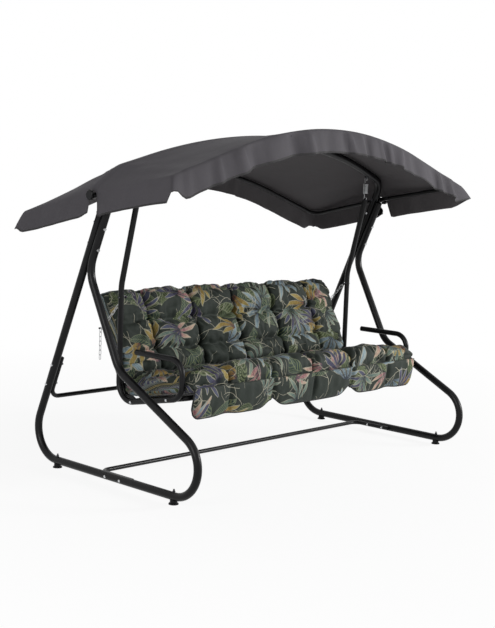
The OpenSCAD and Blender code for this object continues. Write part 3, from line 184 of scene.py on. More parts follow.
def weave(g, p, size):
    """Height of a plain weave: warp and weft threads that pass over each other."""
    x, y, z = g.split(p)
    rate = 2 * math.pi / size
    wx = g.sine(g.mul(x, rate))
    wy = g.sine(g.mul(g.add(y, g.mul(z, 0.7)), rate))
    return g.mul(wx, wy)


def cover_cloth(name, color):
    """Woven polyester of the cover, with small creases."""
    g = Graph(name)
    p = g.coords()
    cloud = g.noise(p, 5, 4)
    fold = g.noise(g.vec("MULTIPLY", [p, (1.0, 2.2, 2.2)]), 9, 3, 0.55)
    creases = g.bump(fold, 0.5, 0.004)
    threads = g.bump(weave(g, p, 0.0011), 0.12, 0.0002, creases)
    g.set(Base_Color=g.mix(g.range(cloud, 0.3, 0.7), color, tuple(c * 1.18 for c in color)),
          Roughness=g.range(cloud, 0.3, 0.7, 0.62, 0.75), Normal=threads,
          Specular_IOR_Level=0.08, Sheen_Weight=0.015, Sheen_Roughness=0.5)
    return g.mat


def tape_cloth(name, color):
    """Coarser woven tape, thread or piping."""
    g = Graph(name)
    p = g.coords()
    g.set(Base_Color=g.mix(g.noise(p, 60, 2), color, tuple(c * 1.3 for c in color)),
          Roughness=0.8, Normal=g.bump(weave(g, p, 0.0016), 0.4, 0.0003))
    return g.mat


JITTER = 0.16


def scatter(g, uv, scale, seed, turn, keep):
    """Cuts the cloth into turned square cells.

    Gives each cell's own turned coordinates, a random value, and 1 in the share of cells to keep.
    """
    c, s = math.cos(turn) * scale, math.sin(turn) * scale
    x, y, z = g.split(uv)
    u = g.add(g.add(g.mul(x, c), g.mul(y, s)), seed * 3.71)
    v = g.add(g.sub(g.mul(y, c), g.mul(x, s)), seed * 1.93)
    cu, cv = g.floor(u), g.floor(v)
    place = {"Vector": g.join(cu, cv, float(seed))}
    rnd = g.split(g.node("ShaderNodeTexWhiteNoise", place, noise_dimensions="3D")["Color"])
    # A motif's middle lies up to JITTER from a place that keeps it inside its cell.
    dx = g.sub(g.sub(g.sub(u, cu), 0.5 - JITTER / 2), g.mul(rnd[1], JITTER))
    dy = g.sub(g.sub(g.sub(v, cv), 0.5 - JITTER / 2), g.mul(rnd[2], JITTER))
    a = g.mul(rnd[0], 2 * math.pi)
    ca, sa = g.cosine(a), g.sine(a)
    px = g.add(g.mul(dx, ca), g.mul(dy, sa))
    py = g.sub(g.mul(dy, ca), g.mul(dx, sa))
    mix = g.math("FRACT", g.mul(g.add(rnd[1], rnd[2]), 7.3))
    return px, py, mix, g.above(mix, 1.0 - keep)


def ribbed_leaf(g, cell, length, width):
    """Pointed leaf with a mid rib and slanted side ribs."""
    x, y, mix, here = cell
    y = g.add(y, g.mul(g.mul(x, x), 0.7))
    t = g.div(x, length)
    half = g.mul(g.sub(1.0, g.mul(t, t)),
                  g.add(width, g.mul(t, -0.4 * width)))
    ay = g.abs(y)
    edge = g.sub(half, ay)
    blade = g.mul(g.range(edge, 0.0, 0.01), here)
    comb = g.sine(g.mul(g.sub(x, g.mul(ay, 1.2)), 62))
    return dict(blade=blade, mix=mix, upper=g.above(y, 0.0),
                ribs=g.mul(g.above(comb, 0.35), blade),
                rib=g.mul(g.below(ay, 0.01), blade),
                line=g.mul(g.below(g.abs(edge), 0.009), here))


def petal_fan(g, cell, count, span, length, width):
    """Fan of separate pointed petals that spring from one point."""
    x, y, mix, here = cell
    x = g.add(x, 0.5 * length)
    r = g.root(g.add(g.mul(x, x), g.mul(y, y)))
    a = g.add(g.angle(y, x), g.mul(r, 0.5))
    step = span / count
    k = g.math("ROUND", g.div(a, step))
    da = g.sub(a, g.mul(k, step))
    along, across = g.mul(r, g.cosine(da)), g.mul(r, g.sine(da))
    wild = g.sine(g.add(g.mul(k, 2.4), g.mul(mix, 9.0)))
    reach = g.mul(g.add(0.8, g.mul(wild, 0.2)), length)
    t = g.div(along, reach)
    inside = g.mul(g.below(t, 1.0), g.above(t, 0.02))
    bell = g.mul(g.math("POWER", g.max(g.sine(g.mul(t, math.pi)), 0.0), 0.9),
                 g.add(0.55, g.mul(t, 0.7)))
    edge = g.sub(g.mul(bell, width), g.abs(across))
    near = g.below(g.abs(k), count / 2 + 0.4)
    here = g.mul(here, g.mul(near, inside))
    body = g.mul(g.range(edge, 0.0, 0.01), here)
    streak = g.sine(g.add(g.mul(across, 210), g.mul(along, 9)))
    return dict(body=body, along=t,
                line=g.mul(g.below(g.abs(edge), 0.008), here),
                streak=g.mul(g.above(streak, 0.4), body))


def seed_head(g, cell, radius):
    """Round seed head: a ring of dots round a dotted disc."""
    x, y, mix, here = cell
    r = g.root(g.add(g.mul(x, x), g.mul(g.mul(y, y), 1.7)))
    a = g.angle(y, x)
    disc = g.mul(g.below(r, radius), here)
    rings = g.sine(g.mul(r, 95))
    spokes = g.sine(g.add(g.mul(a, 11), g.mul(r, 40)))
    dots = g.mul(g.above(g.mul(rings, spokes), 0.25), disc)
    return disc, dots


def twig(g, cell):
    """Thin bent stem with two side shoots."""
    x, y, mix, here = cell
    y = g.add(y, g.mul(g.mul(x, x), 0.9))
    main = g.mul(g.below(g.abs(y), 0.008),
                  g.below(g.abs(x), 0.42))
    for at, slope in ((-0.12, 0.9), (0.1, -0.8)):
        run = g.sub(x, at)
        shoot = g.below(g.abs(g.sub(y, g.mul(run, slope))), 0.009)
        part = g.mul(g.above(run, 0.0), g.below(run, 0.2))
        main = g.max(main, g.mul(shoot, part))
    return g.mul(main, here)


GROUND = ((0.018, 0.024, 0.019), (0.028, 0.036, 0.029))
THREAD_RATE = 5200      # radians per metre
CREAM, INK = (0.42, 0.40, 0.31), (0.016, 0.020, 0.030)
FANS = (
    # seed, scale, turn, share, petals, spread, length, width, then root, middle and tip colour
    (21, 4.5, 0.5, 0.44, 4, 2.2, 0.86, 0.064,
     (0.035, 0.045, 0.07), (0.12, 0.17, 0.20), (0.30, 0.39, 0.41)),
    (22, 5.0, 1.1, 0.36, 3, 1.3, 0.84, 0.064,
     (0.10, 0.02, 0.035), (0.24, 0.16, 0.035), (0.38, 0.31, 0.10)),
    (23, 5.2, 2.0, 0.30, 3, 1.2, 0.86, 0.054,
     (0.08, 0.025, 0.07), (0.26, 0.10, 0.12), (0.58, 0.43, 0.31)),
    (24, 5.0, 2.7, 0.40, 4, 2.0, 0.82, 0.058,
     (0.025, 0.022, 0.04), (0.05, 0.04, 0.08), (0.10, 0.115, 0.17)),
    (25, 5.4, 0.1, 0.30, 4, 2.2, 0.82, 0.050,
     (0.035, 0.055, 0.055), (0.09, 0.14, 0.125), (0.24, 0.30, 0.23)))


def printed_cloth(name):
    """Dark green polyester with fans of petals, ribbed leaves, seed heads and thin twigs."""
    g = Graph(name)
    uv = g.node("ShaderNodeUVMap", uv_map="print")[0]
    wob = g.noise(uv, 9, 2, kind="Color")
    shift = g.vec("SCALE", {0: g.vec("SUBTRACT", [wob, (0.5, 0.5, 0.5)]), "Scale": 0.035})
    uvw = g.vec("ADD", [uv, shift])
    brush = g.range(g.noise(uv, 120, 3), 0.4, 0.75, 0.0, 0.6)
    col = g.mix(g.range(g.noise(uv, 12, 4), 0.35, 0.7), *GROUND)
    for seed, scale, turn in ((31, 5.0, 0.3), (32, 5.8, 1.7)):
        col = g.mix(g.mul(twig(g, scatter(g, uvw, scale, seed, turn, 0.8)), 0.55), col, CREAM)
    leaves = ((0.0, (0.035, 0.055, 0.032)), (0.5, (0.050, 0.064, 0.030)),
              (0.8, (0.03, 0.048, 0.044)))
    for seed, scale, turn, keep in ((1, 5.0, 0.9, 0.45), (2, 6.4, 2.3, 0.35)):
        f = ribbed_leaf(g, scatter(g, uvw, scale, seed, turn, keep), 0.42, 0.19)
        body = g.mix(g.mul(f["ribs"], 0.75), g.ramp(f["mix"], leaves), (0.16, 0.195, 0.095))
        body = g.mix(g.mul(f["upper"], 0.35), body, (0.03, 0.045, 0.03))
        col = g.mix(f["blade"], col, body)
        col = g.mix(g.mul(g.max(f["rib"], f["line"]), 0.6), col, (0.22, 0.25, 0.15))
    disc, dots = seed_head(g, scatter(g, uvw, 5.6, 41, 1.4, 0.4), 0.26)
    col = g.mix(g.mul(disc, 0.8), col, (0.04, 0.055, 0.025))
    col = g.mix(g.mul(dots, 0.85), col, (0.24, 0.28, 0.15))
    for seed, scale, turn, keep, count, span, length, width, root, middle, tip in FANS:
        f = petal_fan(g, scatter(g, uvw, scale, seed, turn, keep), count, span, length, width)
        body = g.mix(g.range(f["along"], 0.1, 0.4, smooth=True), root, middle)
        body = g.mix(g.range(f["along"], 0.4, 0.9, 0.0, 1.0, True), body, tip)
        body = g.mix(g.mul(f["streak"], 0.5), body, root)
        body = g.mix(brush, body, tip)
        col = g.mix(f["body"], col, body)
        pale = g.range(f["along"], 0.15, 0.6)
        col = g.mix(g.mul(f["line"], 0.7), col, g.mix(pale, INK, CREAM))
    for seed, scale, turn in ((33, 5.4, 2.4), (34, 6.2, 0.8)):
        col = g.mix(g.mul(twig(g, scatter(g, uvw, scale, seed, turn, 0.7)), 0.85), col, CREAM)
    fold = g.noise(g.vec("MULTIPLY", [uv, (1.0, 1.5, 1.0)]), 26, 3, 0.55)
    creases = g.bump(fold, 0.5, 0.005)
    x, y, z = g.split(uv)
    thread = g.mul(g.sine(g.mul(x, THREAD_RATE)), g.sine(g.mul(y, THREAD_RATE)))
    g.set(Base_Color=g.mix(0.1, col, (0.0, 0.0, 0.0)), Roughness=0.72,
          Normal=g.bump(thread, 0.1, 0.0002, creases), Specular_IOR_Level=0.2, Sheen_Weight=0.04)
    return g.mat


POWDER = coated_metal("powder_coat", (0.004, 0.004, 0.0045), 0.34, 0.3)
PLASTIC = moulded("black_plastic", (0.004, 0.004, 0.0045), 0.42)
ZINC = plated("zinc", (0.62, 0.63, 0.64), 0.32)
DARK = plated("dark_zinc", (0.05, 0.05, 0.055), 0.35)
COVER = cover_cloth("cover_cloth", (0.073, 0.069, 0.076))
# Same cloth as the cover, as a separate copy for the inside faces. Its colour is tuned to how light
# falls there, so it is painted light.
COVER_IN_PAINTED_LIGHT = cover_cloth("cover_inside_painted_light", (0.076, 0.071, 0.074))
TAPE = tape_cloth("cover_tape", (0.012, 0.011, 0.012))
THREAD = tape_cloth("thread", (0.05, 0.048, 0.05))
PRINT = printed_cloth("cushion_cloth")
PIPING = tape_cloth("cushion_piping", (0.004, 0.0045, 0.004))
BY_SLOT = {"powder_coat": POWDER, "black_plastic": PLASTIC, "zinc": ZINC, "dark_zinc": DARK,
           "cushion_cloth": PRINT, "cover_cloth": COVER}

for sub in frame["record"]["subparts"]:
    solid = frame["nodes"][sub["node"]]
    solid.data.materials.clear()
    solid.data.materials.append(BY_SLOT[sub["material_slot"]])


def add_object(name, data):
    ob = bpy.data.objects.new(name, data)
    bpy.context.scene.collection.objects.link(ob)
    return ob


def new_object(name, verts, faces, mats, face_mats=None, uvs=None, smooth=True):
    mesh = bpy.data.meshes.new(name)
    mesh.from_pydata([tuple(v) for v in verts], [], faces)
    for m in mats:
        mesh.materials.append(m)
    if face_mats:
        mesh.polygons.foreach_set("material_index", face_mats)
    mesh.polygons.foreach_set("use_smooth", [smooth] * len(mesh.polygons))
    if uvs:
        layer = mesh.uv_layers.new(name="print")
        for loop in mesh.loops:
            layer.data[loop.index].uv = uvs[loop.vertex_index]
    mesh.validate()
    mesh.update()
    return add_object(name, mesh)


def apply_modifiers(ob):
    dg = bpy.context.evaluated_depsgraph_get()
    mesh = bpy.data.meshes.new_from_object(ob.evaluated_get(dg))
    ob.modifiers.clear()
    ob.data = mesh


def node_tree(name, inputs):
    """Empty geometry tree with a mesh in, a mesh out and named size inputs."""
    tree = bpy.data.node_groups.new(name, "GeometryNodeTree")
    tree.interface.new_socket("Mesh", in_out="INPUT", socket_type="NodeSocketGeometry")
    tree.interface.new_socket("Mesh", in_out="OUTPUT", socket_type="NodeSocketGeometry")
    for label, value in inputs.items():
        kind = "NodeSocketInt" if isinstance(value, int) else "NodeSocketFloat"
        tree.interface.new_socket(label, in_out="INPUT", socket_type=kind).default_value = value
    return tree, node(tree, "NodeGroupInput")


def finish_tree(tree, geometry, mat):
    """Makes the instances real, gives them their material and sends them out."""
    real = node(tree, "GeometryNodeRealizeInstances", [geometry])[0]
    painted = node(tree, "GeometryNodeSetMaterial", {0: real, "Material": mat})[0]
    node(tree, "NodeGroupOutput", [painted])
    return tree


def round_cord(tree, curve, radius, sides, caps=True):
    """A round cord swept along a curve."""
    ring = node(tree, "GeometryNodeCurvePrimitiveCircle", {"Radius": radius, "Resolution": sides})
    sweep = {"Curve": curve, "Profile Curve": ring[0], "Fill Caps": caps}
    cord = node(tree, "GeometryNodeCurveToMesh", sweep)[0]
    return node(tree, "GeometryNodeSetShadeSmooth", [cord])[0]


def round_cord_tree(name, radius, sides, mat):
    """Tree that lays a round cord along the edges of a mesh path."""
    tree, inp = node_tree(name, {"Radius": radius, "Sides": sides})
    curve = node(tree, "GeometryNodeMeshToCurve", {"Mesh": inp["Mesh"]})[0]
    return finish_tree(tree, round_cord(tree, curve, inp["Radius"], inp["Sides"]), mat)


def path_object(name, points):
    """Mesh of edges only, which a geometry tree turns into a piece."""
    mesh = bpy.data.meshes.new(name)
    edges = [(i, i + 1) for i in range(len(points) - 1)]
    mesh.from_pydata([tuple(p) for p in points], edges, [])
    return add_object(name, mesh)


def grow(ob, tree, **sizes):
    """Runs a geometry tree on an object and keeps the result as a plain mesh."""
    m = ob.modifiers.new("grow", "NODES")
    m.node_group = tree
    ids = {item.name: item.identifier
           for item in tree.interface.items_tree if item.in_out == "INPUT"}
    for label, value in sizes.items():
        m[ids[label.replace("_", " ")]] = value
    apply_modifiers(ob)
    return ob


# ---------------------------------------------------------------- measures shared with the solids
# In mm. A place on the leg's axis is s from the corner.

LEAN = math.radians(23.4)
LEG_DIR = Vector((0, -math.sin(LEAN), math.cos(LEAN)))
HALF_BASE, REAR_BEND_R, FOOT_SET, RUNNER_Z = 424, 150, 10.7, 36
CORNER = Vector((0, HALF_BASE + REAR_BEND_R * math.tan(math.radians(56.7)) + FOOT_SET, RUNNER_Z))
ARCH_R, ARCH_SLOPE = 2420.0, math.radians(19.3)
SHOULDER_S, SHOULDER_R, TUBE, FRAME_X = 1542.0, 104.0, 38.0, 1000
CANOPY_X, BOW_F, BOW_R, CROWN, FALL = 1078.0, 438.0, 618.0, 1703.0, 200.0
ROOF_R, ROOF_SLOPE = 2050.0, math.radians(18.5)
REAR_LEG, PIVOT_DOWN = 1464, 32
PIVOT = CORNER + (REAR_LEG - PIVOT_DOWN) * LEG_DIR
RAIL_Z, RAIL_RISE = 351.0, math.tan(math.radians(11))
TIP_S = SHOULDER_S + FRAME_X * math.tan(ARCH_SLOPE)
SPRING_X, EYE_DROP, HANGER_SWEEP = 850, 34, 105


def leg_at(s):
    return CORNER + s * LEG_DIR


def beam_s(x):
    """Height of the beam's axis along the legs, at x."""
    x = abs(x)
    crown = TIP_S - ARCH_R * (1 / math.cos(ARCH_SLOPE) - 1)
    if x < ARCH_R * math.sin(ARCH_SLOPE):
        return crown - ARCH_R + math.sqrt(ARCH_R ** 2 - x * x)
    return TIP_S - x * math.tan(ARCH_SLOPE)


AXIS = leg_at(beam_s(SPRING_X)) - EYE_DROP * LEG_DIR
POST_Y = AXIS.y + HANGER_SWEEP
HINGE_BACK, HINGE_UP = 8.5, 44
HINGE = Vector((0, POST_Y + HINGE_BACK, RAIL_Z + HINGE_UP))
BACK = math.radians(28.5)


def rail_at(y):
    return RAIL_Z + (POST_Y - y) * RAIL_RISE


def back_at(s, out):
    """Y and Z of a place s up the backrest and out in front of it."""
    return (HINGE.y + s * math.sin(BACK) - out * math.cos(BACK),
            HINGE.z + s * math.cos(BACK) + out * math.sin(BACK))


def to_frame(x, y, z):
    return Vector((x * MM, (y - Y0) * MM, z * MM))


# ---------------------------------------------------------------- canopy cover

def roof_drop(x):
    x = abs(x)
    xt = ROOF_R * math.sin(ROOF_SLOPE)
    if x < xt:
        return ROOF_R - math.sqrt(ROOF_R ** 2 - x * x)
    return ROOF_R * (1 - math.cos(ROOF_SLOPE)) + (x - xt) * math.tan(ROOF_SLOPE)


SH_X = FRAME_X - SHOULDER_R
SH_LOW = SHOULDER_S - SHOULDER_R * math.tan((math.pi / 2 - ARCH_SLOPE) / 2)


def beam_top_s(x):
    x = abs(x)
    if x < SH_X + 40:
        return beam_s(x) + TUBE / 2 / math.cos(ARCH_SLOPE)
    return SH_LOW + math.sqrt(max(0.0, (SHOULDER_R + TUBE / 2) ** 2 - (x - SH_X) ** 2))


RIDGE_UP, EDGE_UP = 8, 18               # rise of the cloth over the beam and over the pivots


def ridge_y(x):
    x = abs(x)
    y = leg_at(beam_top_s(min(x, FRAME_X)) - TUBE / 2).y
    return y + max(0.0, x - FRAME_X) / (CANOPY_X - FRAME_X) * (PIVOT.y - y)


def ridge_z(x):
    x = abs(x)
    top = leg_at(beam_top_s(min(x, FRAME_X))).z + RIDGE_UP
    edge = PIVOT.z + EDGE_UP
    if x <= FRAME_X:
        return top
    return edge + (top - edge) * ((CANOPY_X - x) / (CANOPY_X - FRAME_X)) ** 0.8


SLIT = 24.0                                     # half the width of the slit at a knob
FRONT_DIP, REAR_DIP, FRONT_SAG, REAR_SAG = 3, 1, 7, 9
VALANCE, TAPE_WIDTH = 115.0, 9.0                # depths of a valance and of the tape at its hem
NOTCH, REAR_NOTCH, LOBE, LOBE_WIDTH = 43.0, 24.0, 8, 40
LEAN_OUT = 38                                   # how far a hem hangs outside its seam
FRONT_SEED, REAR_SEED, SIDE_SEED = 1.0, 5.0, 9.0
FRONT_FOLDS, REAR_FOLDS, SIDE_FOLDS = 1.2, 0.5, 0.3
BEAM_ROOM, CLOTH = 2.8, 1.4                     # extra rise over the beam; thickness of the cloth
COLUMNS, FRONT_ROWS, SLIT_ROWS, REAR_ROWS = 132, 24, 10, 32


def roof_point(x, part, t):
    """Place on the roof: part 0 is the front slope, 1 the strip over the beam, 2 the rear slope."""
    zf = CROWN - roof_drop(x)
    zr = zf - FALL
    ry, rz = ridge_y(x), ridge_z(x)
    sag = 1 - (x / CANOPY_X) ** 4
    if part == 0:
        y = -BOW_F + (ry - SLIT + BOW_F) * t
        z = zf + (rz - FRONT_DIP - zf) * t - FRONT_SAG * sag * math.sin(math.pi * t)
        return Vector((x, y, z))
    if part == 1:
        return Vector((x, ry + SLIT * t, rz - (FRONT_DIP if t < 0 else REAR_DIP) * t * t))
    y = ry + SLIT + (BOW_R - ry - SLIT) * t
    z = rz - REAR_DIP + (zr - rz + REAR_DIP) * t - REAR_SAG * sag * math.sin(math.pi * t)
    return Vector((x, y, z))


def ease(t, a, b):
    t = min(1.0, max(0.0, (t - a) / (b - a)))
    return t * t * (3 - 2 * t)


def hem_drop(t, front, right):
    """Depth of a front or rear valance at distance t from its corner, where it has a notch."""
    if front and right:
        lobe = LOBE * math.exp(-((t - 95) / LOBE_WIDTH) ** 2)
        return VALANCE + lobe - NOTCH * (1 - min(1.0, t / 84))
    lobe = LOBE * math.exp(-((t - 85) / LOBE_WIDTH) ** 2)
    return VALANCE + lobe - (NOTCH if front else REAR_NOTCH) * (1 - ease(t, 22, 66))


def side_drop(y, right):
    """Depth of a side valance at y, with the notches at its corners and a rise beside the slit."""
    d = abs(y - PIVOT.y)
    front = y < PIVOT.y
    t = y + BOW_F if front else BOW_R - y
    start, end = (14, 60) if not front else (0, 90) if right else (3, 22)
    notch = (NOTCH if front else REAR_NOTCH) * (1 - ease(t, start, end))
    rise, width = (6, 14) if front else (16, 30)
    return VALANCE - notch - rise * math.exp(-((d - SLIT) / width) ** 2)


def pleat(x, v, seed):
    """Folds of a valance, in mm outwards: gathered at the seam, broad and slanted at the hem."""
    bend = x + 60 * v * noise.noise(Vector((x / 190.0, seed, 8.0)))
    a = noise.noise(Vector((bend / 32.0, seed, 0.3)))
    b = noise.noise(Vector((bend / 105.0, seed, 1.7)))
    c = noise.noise(Vector((bend / 240.0, seed, 4.1)))
    sharp = 0.35 - abs(noise.noise(Vector((bend / 92.0, seed, 6.6))))
    share = SIDE_FOLDS if seed > 7 else REAR_FOLDS if seed > 3 else FRONT_FOLDS
    much = max(0.3, 0.9 + 1.4 * noise.noise(Vector((x / 210.0, seed, 3.3)))) * share
    return much * ((0.55 + 0.45 * v) * (38 * b + 52 * sharp) + 8 * a * (1 - 0.8 * v)) + v * 10.0 * c


def flare(along, t, v, sign_along, seed, front):
    """Outward lean of a valance at distance t from its corner, where it points diagonally."""
    turn = math.radians(45) * math.exp(-(t / 80) ** 2)
    out = LEAN_OUT * v ** 0.8 * (1 + (0.75 if front else 0.35) * math.exp(-(t / 70) ** 2))
    out += (pleat(along, v, seed) * (1 - math.exp(-(t / 60) ** 2))) * min(1.0, v * 5)
    return out * math.cos(turn), out * math.sin(turn) * sign_along


def column_x(i):
    return -CANOPY_X + 2 * CANOPY_X * i / COLUMNS


def valance_point(x, v, front, raised=0.0):
    """Place at share v of the front or rear valance's depth, raised from its face."""
    p = roof_point(x, 0, 0.0) if front else roof_point(x, 2, 1.0)
    t = CANOPY_X - abs(x)
    out, along = flare(x, t, v, 1 if x > 0 else -1, FRONT_SEED if front else REAR_SEED, front)
    out += raised
    return p + Vector((along, -out if front else out, -hem_drop(t, front, x > 0) * v))


def build_cover():
    """The cover as one sheet. Returns it with its area before it gets its thickness."""
    vs = [1.0, 1.0 - TAPE_WIDTH / VALANCE, 0.8, 0.66, 0.5, 0.35, 0.2, 0.09]
    cols = [(-1, v) for v in vs]
    cols += [(0, column_x(i)) for i in range(COLUMNS + 1)]
    cols += [(1, v) for v in reversed(vs)]
    rows = [(-1, v) for v in vs]
    rows += [(0, i / FRONT_ROWS) for i in range(FRONT_ROWS)]
    rows += [(1, i / (SLIT_ROWS / 2) - 1) for i in range(SLIT_ROWS)]
    rows += [(2, i / REAR_ROWS) for i in range(REAR_ROWS + 1)]
    rows += [(3, v) for v in reversed(vs)]
    nc, nr, nv = len(cols), len(rows), len(vs)
    slit_lo = nv + FRONT_ROWS
    slit_hi = slit_lo + SLIT_ROWS

    def point(c, r):
        if c[0] == 0 and 0 <= r[0] < 3:
            return roof_point(c[1], *r)
        if c[0] == 0:
            return valance_point(c[1], r[1], r[0] == -1)
        e = roof_point(c[0] * CANOPY_X, *r)
        v = c[1]
        front = e.y < PIVOT.y
        t = e.y + BOW_F if front else BOW_R - e.y
        out, along = flare(e.y, t, v, -1 if front else 1, SIDE_SEED + c[0], front)
        # The knob holds the cloth close to the bows, so it leans out less beside the slit.
        near = math.exp(-(max(0.0, abs(e.y - PIVOT.y) - SLIT) / 70) ** 2)
        out *= 1 - (0.85 - 0.35 * v) * near
        part = -(26 if front else 12) * v * near
        return e + Vector((c[0] * out, along + part, -side_drop(e.y, c[0] > 0) * v))

    def inside(i, j):
        if i < 0 or j < 0 or i >= nc - 1 or j >= nr - 1:
            return False
        roof_c = nv <= i < nv + COLUMNS
        roof_r = nv <= j < nr - nv - 1
        if not (roof_c or roof_r):
            return False
        return not (slit_lo <= j < slit_hi and not roof_c)

    index, verts, faces, mats = {}, [], [], []

    def vert(i, j):
        # A valance goes round its corner in one piece, so its two end columns share points.
        if j < nv and i == nv + COLUMNS:
            i, j = nc - 1 - j, nv
        elif j < nv and i == nv:
            i, j = j, nv
        elif j >= nr - nv and i == nv + COLUMNS:
            i, j = nc - nr + j, nr - nv - 1
        elif j >= nr - nv and i == nv:
            i, j = nr - 1 - j, nr - nv - 1
        if (i, j) not in index:
            p = point(cols[i], rows[j])
            x, y = p.x, p.y
            on_roof = cols[i][0] == 0 and 0 <= rows[j][0] < 3
            if on_roof:
                pull = math.exp(-((abs(x) - 960) / 160) ** 2)
                ray = math.atan2(y - PIVOT.y, abs(x) - 1010) if abs(x) < 1009 else 1.5
                beside = min(1.0, abs(y - ridge_y(x)) / 120)
                p.z += 1.6 * pull * math.sin(ray * 11) * beside
                # Room over the beam, so that the cloth stays clear when the canopy tilts forward.
                over = math.exp(-((y - ridge_y(x) + 25) / 70) ** 2)
                p.z += BEAM_ROOM * over * min(1.0, (CANOPY_X - abs(x)) / 60)
                p.z += 2.2 * noise.noise(Vector((x / 260.0, y / 160.0, 2.0))) * beside
            index[(i, j)] = len(verts)
            verts.append(to_frame(*p))
        return index[(i, j)]

    for i in range(nc - 1):
        for j in range(nr - 1):
            if inside(i, j):
                faces.append((vert(i, j), vert(i + 1, j), vert(i + 1, j + 1), vert(i, j + 1)))
                hem = i == 0 or i == nc - 2 or j == 0 or j == nr - 2
                mats.append(1 if hem else 0)
    ob = new_object("canopy_cloth", verts, faces, [COVER, TAPE], mats)
    flat_area = sum(p.area for p in ob.data.polygons)
    # The inner faces get the copy of the cover cloth with painted light.
    ob.data.materials.append(COVER_IN_PAINTED_LIGHT)
    m = ob.modifiers.new("thick", "SOLIDIFY")
    m.thickness = CLOTH * MM
    m.offset = -1
    m.material_offset = 2
    m.material_offset_rim = 1
    apply_modifiers(ob)
    ob.data.polygons.foreach_set("use_smooth", [True] * len(ob.data.polygons))
    return ob, flat_area


cover, cover_area = build_cover()
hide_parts("canopy_cover")
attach(cover, "canopy")


# ---------------------------------------------------------------- cushions

TUFT, ROW, DROOP = 300.0, 150.0, 14     # pitch of the tufts across and along; droop of a crease
SEAT_TUBE_R, GRID_WIRE, FIT, PAD_REST = 12.5, 4, 0.05, 0.85
GRID_UP = SEAT_TUBE_R + GRID_WIRE / 2 + FIT
PAD_UP = GRID_UP + 1.5 * GRID_WIRE + PAD_REST
SEAT_T, BACK_T, TUFT_H, GROOVE = 104.0, 84.0, 32.0, 22.0


def catmull(a, b, c, d, t):
    """Catmull-Rom curve from b to c, for numbers or vectors."""
    return 0.5 * (2 * b + (c - a) * t + (2 * a - 5 * b + 4 * c - d) * t * t
                  + (3 * b - a - 3 * c + d) * t ** 3)


def pairs(loop):
    """Each place of a closed loop with the next one."""
    return zip(loop, loop[1:] + loop[:1])


def smooth_loop(points, count):
    """Closed Catmull-Rom curve through points, resampled evenly to count places."""
    n = len(points)
    dense = []
    for i in range(n):
        near = [points[(i + k - 1) % n] for k in range(4)]
        dense += [[catmull(*four, k / 24) for four in zip(*near)] for k in range(24)]
    lengths = [0.0]
    for a, b in pairs(dense):
        lengths.append(lengths[-1] + math.hypot(b[0] - a[0], b[1] - a[1]))
    total, out, k = lengths[-1], [], 0
    for i in range(count):
        want = total * i / count
        while lengths[k + 1] < want:
            k += 1
        f = (want - lengths[k]) / max(1e-9, lengths[k + 1] - lengths[k])
        a, b = dense[k], dense[(k + 1) % len(dense)]
        out.append([x + (y - x) * f for x, y in zip(a, b)] + [want])
    return out


def bulge(d, r):
    """Quarter-round rise from a crease, full at distance r."""
    return math.sqrt(1 - (1 - min(1.0, d / r)) ** 2)


def swell(x, t):
    """Height of the stuffing, from 0 at a tuft to 1."""
    dx = abs(x - round(x / TUFT) * TUFT)
    return bulge(dx, 80) * (0.52 + 0.48 * bulge(crease_off(x, t), 50))


def crease_off(x, t):
    """Distance of a place from the nearest crease across, which droops between its tufts."""
    dx = abs(x - round(x / TUFT) * TUFT)
    wave = noise.noise(Vector((x / 70.0, round(t / ROW), 3.0)))
    t = t + DROOP * (1 - (1 - dx / (TUFT / 2)) ** 2) + 9 * wave
    return abs(t - round(t / ROW) * ROW)


def wrinkles(x, t, seed):
    """Small folds in mm: rays round the tufts, and soft dents elsewhere."""
    dx, dt = x - round(x / TUFT) * TUFT, t - round(t / ROW) * ROW
    r = math.hypot(dx, dt)
    a = math.atan2(dt, dx)
    ph = 6 * noise.noise(Vector((round(x / TUFT) * 1.7, round(t / ROW) * 2.9, seed)))
    rays = math.cos(a * 9 + ph) + 0.7 * math.cos(a * 14 - 2 * ph)
    wave = 3.2 * rays * math.exp(-((r - 42) / 30) ** 2)
    wave += 7 * noise.noise(Vector((x / 90.0, t / 60.0, seed)))
    return wave + 4 * noise.noise(Vector((x / 30.0, t / 38.0, seed + 5)))


GRAIN = 7.5             # spacing of the cushions' mesh
END_ROUND = 46          # how far a cushion's end curves in


